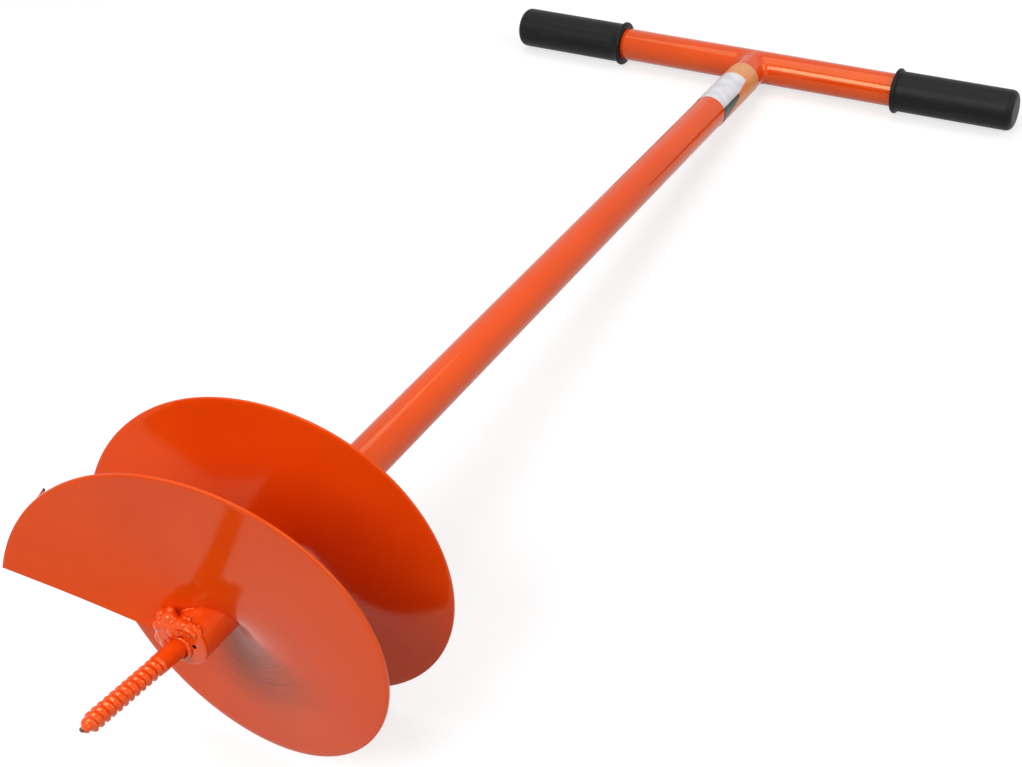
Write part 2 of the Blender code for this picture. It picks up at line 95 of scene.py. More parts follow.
@dataclass(frozen=True)
class ToolFrame:
    """Where the auger's own frame lies on the ground."""

    slope: float
    origin: Vector

    @classmethod
    def from_cad(cls) -> "ToolFrame":
        """Find the frame from the boxes of the shaft and the crossbar.

        The shaft's lower end is a flat ring, and the ring's highest point gives the slope.

        Returns:
            The frame that lays a point of the auger where the solids have it.
        """
        low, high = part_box("crossbar_tube")
        centre = (low + high) / 2
        shaft_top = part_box("shaft_tube")[1].z
        length = STOCK.handle_height - STOCK.cap_thickness - STOCK.gap
        reach = math.hypot(length, STOCK.tube_radius)
        slope = math.asin((shaft_top - centre.z) / reach) - math.atan2(STOCK.tube_radius, length)
        turn = Matrix.Rotation(-math.pi / 2 - slope, 3, "X")
        crossbar = Vector((STOCK.crossbar_offset, 0, STOCK.handle_height))
        return cls(slope, centre - turn @ crossbar)

    @property
    def tilt(self) -> float:
        """Turn about X that lays the auger down."""
        return -math.pi / 2 - self.slope

    @property
    def to_ground(self) -> Matrix:
        """Matrix from the auger's frame to the ground's."""
        return Matrix.Translation(self.origin) @ Matrix.Rotation(self.tilt, 4, "X")


TOOL = ToolFrame.from_cad()


# Modelling by hand

def deselect() -> None:
    """Deselect every object."""
    for item in bpy.context.selected_objects:
        item.select_set(False)


def activate(item: Item) -> None:
    """Select one object alone and make it active."""
    deselect()
    item.select_set(True)
    bpy.context.view_layer.objects.active = item


def join(items: Sequence[Item]) -> Item:
    """Join objects into the first of them."""
    activate(items[0])
    for item in items[1:]:
        item.select_set(True)
    bpy.ops.object.join()
    return items[0]


def edit(item: Item, select: str = "SELECT") -> None:
    """Enter edit mode with everything selected or deselected."""
    activate(item)
    bpy.ops.object.mode_set(mode="EDIT")
    bpy.ops.mesh.select_all(action=select)


def leave() -> None:
    """Leave edit mode."""
    bpy.ops.object.mode_set(mode="OBJECT")


def select_edges(item: Item, wanted: Callable[[Vector, Vector], bool]) -> None:
    """Enter edit mode in edge selection with the wanted edges selected.

    Args:
        item: The object to edit.
        wanted: Test of an edge's two ends.
    """
    edit(item, "DESELECT")
    bpy.ops.mesh.select_mode(type="EDGE")
    leave()
    points = [vert.co for vert in item.data.vertices]
    for edge in item.data.edges:
        edge.select = wanted(points[edge.vertices[0]], points[edge.vertices[1]])
    bpy.ops.object.mode_set(mode="EDIT")


def close_up(item: Item, reach: float = 0.00001) -> None:
    """Weld doubled points and turn all faces outwards."""
    edit(item)
    bpy.ops.mesh.remove_doubles(threshold=reach)
    bpy.ops.mesh.normals_make_consistent(inside=False)
    leave()


def apply_all(item: Item) -> None:
    """Apply every modifier of an object."""
    activate(item)
    for modifier in list(item.modifiers):
        bpy.ops.object.modifier_apply(modifier=modifier.name)


def place_in_mesh(item: Item, matrix: Matrix) -> None:
    """Move a mesh by a matrix and keep its object at the origin."""
    item.data.transform(matrix)
    item.data.update()


def polar(radius: float, angle: float, height: float) -> Vector:
    """Point at a distance from Z, an angle round it and a height."""
    return Vector((radius * math.cos(angle), radius * math.sin(angle), height))


def add_wall(item: Item, thickness: float, offset: float) -> None:
    """Thicken an open sheet or tube."""
    wall = item.modifiers.new("wall", "SOLIDIFY")
    wall.thickness = thickness
    wall.offset = offset
    wall.use_even_offset = True


def add_bevel(item: Item, width: float, segments: int = 2, angle: float = 40) -> None:
    """Round the sharp edges of an object."""
    rounding = item.modifiers.new("rounding", "BEVEL")
    rounding.width = width
    rounding.segments = segments
    rounding.limit_method = "ANGLE"
    rounding.angle_limit = math.radians(angle)


def cut_away(item: Item, cutter: Item) -> None:
    """Take a cutter away from an object and delete the cutter."""
    saw = item.modifiers.new("saw", "BOOLEAN")
    saw.operation = "DIFFERENCE"
    saw.solver = "EXACT"
    saw.object = cutter
    apply_all(item)
    bpy.data.objects.remove(cutter, do_unlink=True)


def wrapped_grid(columns: int, rows: int, place: Place) -> Item:
    """A flat grid, wrapped point by point.

    Args:
        columns: Faces along the first direction.
        rows: Faces along the second direction.
        place: Gives a point's place from its shares along both directions.

    Returns:
        The new object, open along its seams.
    """
    deselect()
    bpy.ops.mesh.primitive_grid_add(x_subdivisions=columns, y_subdivisions=rows, size=1, calc_uvs=True)
    item = bpy.context.active_object
    for vert in item.data.vertices:
        vert.co = place(vert.co.x + 0.5, vert.co.y + 0.5)
    return item


def cylinder(radius: float, bottom: float, top: float, facets: int = 128, ends: str = "NGON") -> Item:
    """A cylinder on Z between two heights."""
    deselect()
    bpy.ops.mesh.primitive_cylinder_add(vertices=facets, radius=radius, depth=top - bottom,
                                        location=(0, 0, (top + bottom) / 2), end_fill_type=ends)
    item = bpy.context.active_object
    bpy.ops.object.transform_apply(location=True, rotation=True, scale=True)
    return item


def spun(profile: Sequence[Pair], facets: int = 96) -> Item:
    """A turned piece: one point is extruded along a profile, which is then spun about Z.

    Args:
        profile: Points as (radius, height), the first and last of them on the axis or equal.
        facets: Steps of the spin.

    Returns:
        The new object, closed.
    """
    deselect()
    bpy.ops.mesh.primitive_plane_add(size=0.001)
    item = bpy.context.active_object
    edit(item)
    bpy.ops.mesh.merge(type="CENTER")
    bpy.ops.transform.translate(value=(profile[0][0], 0, profile[0][1]))
    for (radius, height), (next_radius, next_height) in zip(profile, profile[1:]):
        step = (next_radius - radius, 0, next_height - height)
        bpy.ops.mesh.extrude_region_move(TRANSFORM_OT_translate={"value": step})
    bpy.ops.mesh.select_all(action="SELECT")
    bpy.ops.mesh.spin(steps=facets, angle=2 * math.pi, center=(0, 0, 0), axis=(0, 0, 1))
    leave()
    close_up(item)
    return item


def arc(centre: Pair, radius: float, start: float, end: float, steps: int) -> list[Pair]:
    """Points of an arc in a profile, from one angle in degrees to another."""
    angles = np.radians(np.linspace(start, end, steps + 1))
    return [(centre[0] + radius * math.cos(a), centre[1] + radius * math.sin(a)) for a in angles]


def hand_over(item: Item, name: str, material: Material, slot: Slot, *nodes: str,
              smooth: float = 35) -> Item:
    """Finish a piece: name it, dress it, lay it on the ground and put it in its node's place.

    Args:
        item: The finished mesh object, in the auger's frame.
        name: Name of the piece.
        material: Its finish.
        slot: The record's slot for that finish; not used.
        *nodes: Solids that the piece stands for.
        smooth: Angle in degrees above which an edge stays sharp.

    Returns:
        The same object.
    """
    place_in_mesh(item, TOOL.to_ground)
    item.name = name
    item.data.name = name
    item.data.materials.clear()
    item.data.materials.append(material)
    activate(item)
    bpy.ops.object.shade_smooth_by_angle(angle=math.radians(smooth))
    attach(item, "root")
    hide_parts(*nodes)
    LOG.info("%s: %d faces", name, len(item.data.polygons))
    return item


@dataclass
class WeldBead:
    """A weld bead laid along a path, with the ripples of its pool.

    Lag is how far the ripples trail at the bead's sides, as a share of its radius, and crown the power that
    rounds them. The ends are round, and a slope along the path is taken over a reach to both sides.
    """

    radius: float
    ripple: float = 0.07
    pitch: float = 0.0016
    lag: float = 0.9
    crown: float = 1.6
    unevenness: float = 0.12
    seed: float = 0.0
    around: int = 20
    along_step: float = 0.00025
    slope_reach: float = 0.0005

    def ring(self, distance: float, angle: float, loop: float = 0.0) -> float:
        """Radius of the bead's skin.

        Args:
            distance: Distance along the path.
            angle: Angle round the path.
            loop: Length of a path that runs into its own start, 0 for any other.

        Returns:
            The radius, which is the same at both ends of a loop.
        """
        pitch = loop / round(loop / self.pitch) if loop else self.pitch
        lag = self.lag * self.radius * math.sin(angle) ** 2
        share = ((distance + lag) / pitch) % 1.0
        wave = 1 - abs(2 * share - 1) ** self.crown
        place = Vector((distance / (4 * self.radius), math.cos(angle), math.sin(angle) + self.seed))
        if loop:
            turn = 2 * math.pi * distance / loop
            reach = loop / (8 * math.pi * self.radius) + 0.5 * math.cos(angle)
            height = 0.5 * math.sin(angle) + self.seed
            place = Vector((reach * math.cos(turn), reach * math.sin(turn), height))
        return self.radius * (1 - self.ripple * (1 - wave) + self.unevenness * noise.noise(place))

    def lay(self, path: Sequence[Vector], lifts: Sequence[Vector], closed: bool = False) -> Item:
        """Lay the bead.

        Args:
            path: Points along the joint.
            lifts: Direction away from the joint at each point.
            closed: Whether the path runs into its own start.

        Returns:
            The bead as a closed mesh.
        """
        points = np.array([tuple(p) for p in path])
        steps = np.linalg.norm(np.diff(points, axis=0), axis=1)
        marks = np.concatenate([[0.0], np.cumsum(steps)])
        length = float(marks[-1])
        away = np.array([tuple(v) for v in lifts])
        columns = max(12, round(length / self.along_step))

        def at(table: np.ndarray, distance: float) -> Vector:
            return Vector([float(np.interp(distance, marks, table[:, k])) for k in range(3)])

        def place(u: float, v: float) -> Vector:
            distance = u * length
            step = min(self.slope_reach, length / 50)
            centre = at(points, distance)
            ahead = at(points, min(length, distance + step)) - at(points, max(0.0, distance - step))
            ahead.normalize()
            lift = at(away, distance)
            lift = (lift - ahead * lift.dot(ahead)).normalized()
            side = ahead.cross(lift)
            angle = 2 * math.pi * v
            radius = self.ring(distance, angle, length if closed else 0.0)
            if not closed:
                end = min(distance, length - distance)
                if end < self.radius:
                    radius *= math.sqrt(max(0.0, 1 - (1 - end / self.radius) ** 2))
            return centre + radius * (lift * math.cos(angle) + side * math.sin(angle))

        item = wrapped_grid(columns, self.around, place)
        close_up(item)
        return item


# Node helpers

class Shader:
    """A short hand for building one node tree."""

    def __init__(self, tree: bpy.types.NodeTree) -> None:
        """Work on a tree."""
        self.tree = tree

    def node(self, kind: str, inputs: Optional[dict] = None, **settings: object) -> ShaderNode:
        """Add a node.

        Args:
            kind: Its type without the leading ShaderNode.
            inputs: Values or sockets for its inputs, by name or number.
            **settings: Its own settings.

        Returns:
            The node.
        """
        made = self.tree.nodes.new("ShaderNode" + kind)
        for key, value in settings.items():
            setattr(made, key, value)
        return self.fill(made, inputs or {})

    def fill(self, made: ShaderNode, inputs: dict) -> ShaderNode:
        """Link or set the inputs of a node, by name or number, and return the node."""
        for key, value in inputs.items():
            if isinstance(value, bpy.types.NodeSocket):
                self.tree.links.new(value, made.inputs[key])
            else:
                made.inputs[key].default_value = value
        return made

    def maths(self, operation: str, first: object, second: object = 0.5, clamp: bool = False) -> Socket:
        """Add a Math node and return its output."""
        return self.node("Math", {0: first, 1: second}, operation=operation, use_clamp=clamp).outputs[0]

    def ranged(self, value: Socket, low: float, high: float, start: float = 0.0, end: float = 1.0,
               smooth: bool = False) -> Socket:
        """Map a value from one range to another."""
        kind = "SMOOTHSTEP" if smooth else "LINEAR"
        return self.node("MapRange", {"Value": value, "From Min": low, "From Max": high, "To Min": start,
                                      "To Max": end}, interpolation_type=kind).outputs[0]

    def mixed(self, share: object, first: object, second: object) -> Socket:
        """Mix two colours."""
        return self.node("Mix", {"Factor": share, 6: first, 7: second}, data_type="RGBA").outputs[2]

    def raised(self, base: object, mask: Socket, amount: float, clamp: bool = False) -> Socket:
        """Add an amount to a value where a mask is."""
        return self.maths("ADD", base, self.maths("MULTIPLY", mask, amount), clamp)

    def vectors(self, operation: str, first: object, second: object = (0, 0, 0),
                output: str = "Value") -> Socket:
        """Add a VectorMath node and return one of its outputs."""
        return self.node("VectorMath", {0: first, 1: second}, operation=operation).outputs[output]

    def stretched(self, place: Socket, by: object) -> Socket:
        """Scale a place by its own factor in each direction."""
        return self.vectors("MULTIPLY", place, by, "Vector")

    def clouds(self, place: Socket, scale: object, detail: float, roughness: float = 0.5) -> Socket:
        """Add a noise texture and return its value."""
        return self.node("TexNoise", {"Vector": place, "Scale": scale, "Detail": detail,
                                      "Roughness": roughness}).outputs["Fac"]

    def bump(self, height: Socket, distance: float, strength: float) -> Socket:
        """Turn a height into a normal."""
        return self.node("Bump", {"Height": height, "Distance": distance, "Strength": strength}).outputs[0]

    def group(self, tree: bpy.types.NodeTree, inputs: dict) -> Socket:
        """Place a node group with its own values and return its output."""
        return self.node("Group", inputs, node_tree=tree).outputs[0]

    def tool_point(self) -> Socket:
        """Place of the shaded point in the auger's own frame."""
        place = self.node("TexCoord").outputs["Object"]
        return self.node("Mapping", {"Vector": place, "Location": TOOL.origin,
                                     "Rotation": (TOOL.tilt, 0, 0)}, vector_type="TEXTURE").outputs[0]


def new_group(name: str, inputs: dict[str, tuple[str, object]], outputs: dict[str, str]
              ) -> tuple[Shader, ShaderNode, ShaderNode]:
    """Start a shader node group.

    Args:
        name: The group's name.
        inputs: Kind of socket and default value of each input.
        outputs: Kind of socket of each output.

    Returns:
        The group's shader, its input node and its output node.
    """
    tree = bpy.data.node_groups.new(name, "ShaderNodeTree")
    for key, (kind, value) in inputs.items():
        socket = tree.interface.new_socket(key, in_out="INPUT", socket_type="NodeSocket" + kind)
        if value is not None:
            socket.default_value = value
    for key, kind in outputs.items():
        tree.interface.new_socket(key, in_out="OUTPUT", socket_type="NodeSocket" + kind)
    return Shader(tree), tree.nodes.new("NodeGroupInput"), tree.nodes.new("NodeGroupOutput")


def orange_peel_group() -> bpy.types.NodeTree:
    """Height of the fine waves that paint or moulded plastic sets in."""
    inside, given, made = new_group(
        "orange_peel", {"Vector": ("Vector", None), "Scale": ("Float", 600.0), "Waviness": ("Float", 0.5)},
        {"Height": "Float"})
    place, scale = given.outputs["Vector"], given.outputs["Scale"]
    fine = inside.clouds(place, scale, 1.0, 0.4)
    slow = inside.clouds(place, inside.maths("MULTIPLY", scale, 0.13), 2.0)
    waves = inside.maths("MULTIPLY", slow, given.outputs["Waviness"])
    inside.fill(made, {"Height": inside.maths("ADD", fine, waves)})
    return inside.tree


def edge_group() -> bpy.types.NodeTree:
    """Mask of outer edges, where paint draws thin and gets rubbed; the powder coat also lays painted light
    and shade on them.
    """
    inside, given, made = new_group(
        "edge_mask", {"Vector": ("Vector", None), "Width": ("Float", 0.0006), "Break": ("Float", 90.0)},
        {"Mask": "Float"})
    rounded = inside.node("Bevel", {"Radius": given.outputs["Width"]}, samples=4)
    flat = inside.node("NewGeometry")
    lean = inside.vectors("DOT_PRODUCT", rounded.outputs[0], flat.outputs["Normal"])
    edge = inside.ranged(lean, 0.99, 0.80, smooth=True)
    broken = inside.ranged(inside.clouds(given.outputs["Vector"], given.outputs["Break"], 3.0), 0.35, 0.6)
    inside.fill(made, {"Mask": inside.maths("MULTIPLY", edge, broken)})
    return inside.tree


def scuff_group() -> bpy.types.NodeTree:
    """Mask of short fine scratches and of rubbed patches."""
    inside, given, made = new_group(
        "scuffs", {"Vector": ("Vector", None), "Scale": ("Float", 40.0), "Stretch": ("Vector", (1, 1, 1)),
                   "Amount": ("Float", 0.3)}, {"Mask": "Float"})
    place = given.outputs["Vector"]
    drawn = inside.stretched(place, given.outputs["Stretch"])
    lines = inside.clouds(drawn, given.outputs["Scale"], 4.0, 0.65)
    areas = inside.clouds(place, 22.0, 2.0)
    both = inside.maths("MULTIPLY", inside.ranged(lines, 0.56, 0.70), inside.ranged(areas, 0.48, 0.62))
    inside.fill(made, {"Mask": inside.maths("MULTIPLY", both, given.outputs["Amount"])})
    return inside.tree


class Effects:
    """The node groups that more than one finish uses, built once."""

    def __init__(self) -> None:
        """Build the groups."""
        self.peel = orange_peel_group()
        self.edge = edge_group()
        self.scuffs = scuff_group()


# Finishes

def new_finish(name: str) -> tuple[Material, Shader, ShaderNode]:
    """Start a material and return it with its shader and its surface node."""
    material = bpy.data.materials.new(name)
    material.use_nodes = True
    return material, Shader(material.node_tree), material.node_tree.nodes["Principled BSDF"]


@dataclass(frozen=True)
class PowderCoat:
    """Bright orange powder coat, glossy and slightly wavy.

    Swirl is the strength of painted shade: a darker colour laid in fine circles round the shaft, in a zone of
    the lower ring where the sheet turns from the light, with a side, a spread, a reach from the axis and a
    top. A bare end is where the paint is gone, as a direction in the auger's frame and the distance along it.
    A pit is the unlit inside of a small hole.
    """

    name: str
    colour: Colour = (0.82, 0.068, 0.0025, 1.0)
    deep: Colour = (0.76, 0.057, 0.0018, 1.0)
    deep_scale: float = 14.0
    # Edge colour and its share: rubbed paint plus painted light, a painted highlight on tubes and welds.
    edge_wear_light_colour: Colour = (0.95, 0.24, 0.07, 1.0)
    edge_wear_and_light: float = 0.6
    gloss: float = 0.50
    tint: Colour = (1.0, 0.95, 0.52, 1.0)
    roughness: float = 0.09
    scuff_scale: float = 160.0
    scuff_roughness: float = 0.35
    peel_depth: float = 0.00003
    peel_scale: float = 420.0
    # Painted shade of the lower ring beside the shaft, laid in fine circles.
    shade_swirl: float = 0.0
    circle_scale: float = 900.0
    circle_break: float = 25.0
    painted_shade: Colour = (0.26, 0.034, 0.010, 1.0)
    shade_side: Vector = Vector((0.24, 0.97, 0.0))
    shade_spread: Pair = (0.62, 0.92)
    shade_reach: Pair = (0.080, 0.045)
    shade_top: Pair = (0.050, 0.043)
    dull_roughness: float = 0.16
    roughest: float = 0.265
    steel: Colour = (0.09, 0.045, 0.03, 1.0)
    steel_roughness: float = 0.25
    bare_along: Optional[Vector] = None
    bare_from: float = 0.0
    bare_edge: float = 0.0005
    rag_scale: float = 900.0
    rag_depth: float = 0.0012
    pit: Optional[Vector] = None
    pit_radius: float = 0.0
    pit_edge: float = 0.0001
    pit_colour: Colour = (0.10, 0.004, 0.002, 1.0)
    pit_roughness: float = 0.15

    def make(self, effects: Effects) -> Material:
        """Build the material.

        Args:
            effects: The shared node groups.

        Returns:
            The finish.
        """
        material, shader, paint = new_finish(self.name)
        place = shader.tool_point()
        cloud = shader.clouds(place, self.deep_scale, 3.0)
        colour = shader.mixed(shader.ranged(cloud, 0.35, 0.65), self.deep, self.colour)
        # Edges take another colour: rubbed paint and painted light, lighter as a painted highlight on tubes
        # and welds, darker as painted shade on the sheets.
        edge = shader.group(effects.edge, {"Vector": place})
        colour = shader.mixed(shader.maths("MULTIPLY", edge, self.edge_wear_and_light), colour, self.edge_wear_light_colour)
        scuffs = shader.group(effects.scuffs, {"Vector": place, "Scale": self.scuff_scale})
        rough = shader.raised(self.roughness, scuffs, self.scuff_roughness)
        peel = shader.group(effects.peel, {"Vector": place, "Scale": self.peel_scale})
        if self.shade_swirl > 0:
            # Painted shade: a darker colour in a zone beside the shaft, broken into fine circles.
            zone, lines = self.circles(shader, place)
            painted_dark = shader.maths("MULTIPLY", zone, shader.maths("MULTIPLY", lines, self.shade_swirl))
            colour = shader.mixed(painted_dark, colour, self.painted_shade)
            rough = shader.maths("MINIMUM", shader.raised(rough, zone, self.dull_roughness), self.roughest)
        if self.bare_along is not None:
            bare = self.bare_end(shader, place)
            colour = shader.mixed(bare, colour, self.steel)
            rough = shader.raised(rough, bare, self.steel_roughness)
        if self.pit is not None:
            away = shader.vectors("DISTANCE", place, self.pit)
            inside = shader.ranged(away, self.pit_radius + self.pit_edge, self.pit_radius)
            colour = shader.mixed(inside, colour, self.pit_colour)
            rough = shader.raised(rough, inside, self.pit_roughness)
        shader.fill(paint, {"Base Color": colour, "Roughness": rough,
                            "Normal": shader.bump(peel, self.peel_depth, 1.0),
                            "Specular IOR Level": self.gloss, "Specular Tint": self.tint})
        return material

    def circles(self, shader: Shader, place: Socket) -> tuple[Socket, Socket]:
        """Zone of painted shade on the lower ring beside the shaft, and the fine circles in it.

        Args:
            shader: The material's shader.
            place: The shaded point in the auger's frame.

        Returns:
            The mask of the zone and that of the circles.
        """
        parts = shader.node("SeparateXYZ", {0: place}).outputs
        flat = shader.node("CombineXYZ", {0: parts[0], 1: parts[1]}).outputs[0]
        radius = shader.vectors("LENGTH", flat)
        turned = shader.node("CombineXYZ", {0: shader.maths("MULTIPLY", radius, self.circle_scale),
                                            1: shader.maths("MULTIPLY", parts[0], self.circle_break),
                                            2: shader.maths("MULTIPLY", parts[1], self.circle_break)})
        lines = shader.clouds(turned.outputs[0], 1.0, 3.0)
        along = shader.vectors("DOT_PRODUCT", flat, self.shade_side)
        side = shader.ranged(shader.maths("DIVIDE", along, radius), *self.shade_spread, smooth=True)
        fade = shader.ranged(radius, *self.shade_reach, smooth=True)
        low = shader.ranged(parts[2], *self.shade_top)
        zone = shader.maths("MULTIPLY", shader.maths("MULTIPLY", side, fade), low)
        return zone, shader.ranged(lines, 0.30, 0.70, 0.45, 1.0)

    def bare_end(self, shader: Shader, place: Socket) -> Socket:
        """Mask of a ragged bare end, past a distance along a direction."""
        ragged = shader.clouds(place, self.rag_scale, 2.0)
        along = shader.vectors("DOT_PRODUCT", place, self.bare_along)
        reached = shader.maths("SUBTRACT", along, shader.maths("MULTIPLY", ragged, self.rag_depth))
        return shader.ranged(reached, self.bare_from, self.bare_from + self.bare_edge)


@dataclass(frozen=True)
class SoftPvc:
    """Charcoal PVC of the dipped grips, with a soft sheen, a fine texture and scuffs."""

    name: str = "soft_pvc"
    colour: Colour = (0.0045, 0.0050, 0.0055, 1.0)
    rubbed: Colour = (0.050, 0.053, 0.057, 1.0)
    roughness: float = 0.34
    grain_roughness: float = 0.10
    gloss: float = 0.16
    scuff_scale: float = 60.0
    scuff_stretch: Triple = (0.35, 3.0, 3.0)
    scuff_amount: float = 0.9
    edge_width: float = 0.0012
    edge_wear: float = 0.08
    streak_stretch: Triple = (18.0, 520.0, 520.0)
    streak_wear: float = 0.14
    grain_scale: float = 1500.0
    grain_waviness: float = 1.2
    grain_depth: float = 0.00004
    grain_strength: float = 0.8

    def make(self, effects: Effects) -> Material:
        """Build the material."""
        material, shader, pvc = new_finish(self.name)
        place = shader.tool_point()
        scuffs = shader.group(effects.scuffs, {"Vector": place, "Scale": self.scuff_scale,
                                               "Stretch": self.scuff_stretch, "Amount": self.scuff_amount})
        edge = shader.group(effects.edge, {"Vector": place, "Width": self.edge_width})
        fine = shader.clouds(shader.stretched(place, self.streak_stretch), 1.0, 3.0)
        streaks = shader.ranged(fine, 0.52, 0.75, 0.0, self.streak_wear)
        edge_wear_and_light = shader.raised(scuffs, edge, self.edge_wear, clamp=True)
        edge_wear_and_light = shader.maths("ADD", edge_wear_and_light, streaks, clamp=True)
        colour = shader.mixed(edge_wear_and_light, self.colour, self.rubbed)
        grain = shader.group(effects.peel, {"Vector": place, "Scale": self.grain_scale,
                                            "Waviness": self.grain_waviness})
        shader.fill(pvc, {"Base Color": colour,
                          "Roughness": shader.raised(self.roughness, grain, self.grain_roughness),
                          "Normal": shader.bump(grain, self.grain_depth, self.grain_strength),
                          "Specular IOR Level": self.gloss})
        return material


@dataclass(frozen=True)
class LabelVinyl:
    """Blank wrapped sticker with a pale field, a mottled ochre surround and one dark block.

    Places on it are shares of its width and height. A side runs between two heights from its first to its
    second distance, and a top fades from its first to its second height.
    """

    name: str = "label_vinyl"
    pale: Colour = (0.80, 0.79, 0.82, 1.0)
    shade: Colour = (0.60, 0.60, 0.66, 1.0)
    ochre: Colour = (0.86, 0.26, 0.060, 1.0)
    faded: Colour = (0.70, 0.38, 0.17, 1.0)
    streak: Colour = (0.38, 0.13, 0.05, 1.0)
    dark: Colour = (0.040, 0.075, 0.070, 1.0)
    gloss: float = 0.4
    roughness: Pair = (0.24, 0.40)
    blotch_scale: float = 130.0
    cloud_scale: float = 60.0
    crease_stretch: Triple = (260.0, 260.0, 70.0)
    crinkle_scale: float = 260.0
    crinkle_depth: float = 0.00005
    crinkle_strength: float = 0.6
    pale_heights: Pair = (0.42, 0.72)
    pale_side: Pair = (0.604, 0.556)
    pale_top: Pair = (0.716, 0.700)
    dark_near: Pair = (0.600, 0.608)
    dark_heights: Pair = (0.05, 0.45)
    dark_side: Pair = (0.780, 0.645)
    dark_top: Pair = (0.450, 0.425)

    def make(self, effects: Effects) -> Material:
        """Build the material."""
        material, shader, vinyl = new_finish(self.name)
        parts = shader.node("SeparateXYZ", {0: shader.node("UVMap").outputs[0]}).outputs
        place = shader.tool_point()
        blotches = shader.clouds(place, self.blotch_scale, 3.0)
        clouds = shader.clouds(place, self.cloud_scale, 4.0, 0.6)
        creases = shader.clouds(shader.stretched(place, self.crease_stretch), 1.0, 2.0)
        ochre = shader.mixed(shader.ranged(parts[1], 0.50, 0.95, 0.0, 0.75), self.ochre, self.faded)
        ochre = shader.mixed(shader.ranged(clouds, 0.42, 0.62, 0.0, 0.7), ochre, self.ochre)
        ochre = shader.mixed(shader.ranged(creases, 0.52, 0.70, 0.0, 0.4), ochre, self.streak)
        pale = shader.mixed(shader.ranged(blotches, 0.40, 0.72), self.pale, self.shade)
        colour = shader.mixed(self.pale_field(shader, parts), ochre, pale)
        colour = shader.mixed(self.dark_block(shader, parts), colour, self.dark)
        crinkle = shader.group(effects.peel, {"Vector": place, "Scale": self.crinkle_scale, "Waviness": 1.0})
        shader.fill(vinyl, {"Base Color": colour,
                            "Roughness": shader.ranged(crinkle, 0.0, 1.5, *self.roughness),
                            "Normal": shader.bump(crinkle, self.crinkle_depth, self.crinkle_strength),
                            "Specular IOR Level": self.gloss})
        return material

    def pale_field(self, shader: Shader, parts: Sequence[Socket]) -> Socket:
        """Mask of the pale field, whose far side leans in towards its top."""
        side = shader.ranged(parts[1], *self.pale_heights, *self.pale_side, smooth=True)
        inside = shader.ranged(shader.maths("SUBTRACT", side, parts[0]), -0.004, 0.006)
        below = shader.ranged(parts[1], *self.pale_top)
        return shader.maths("MULTIPLY", inside, below)

    def dark_block(self, shader: Shader, parts: Sequence[Socket]) -> Socket:
        """Mask of the dark block, which widens downwards."""
        near = shader.ranged(parts[0], *self.dark_near)
        side = shader.ranged(parts[1], *self.dark_heights, *self.dark_side)
        inside = shader.ranged(shader.maths("SUBTRACT", side, parts[0]), -0.006, 0.012)
        below = shader.ranged(parts[1], *self.dark_top)
        return shader.maths("MULTIPLY", shader.maths("MULTIPLY", near, inside), below)


# Sub-assemblies

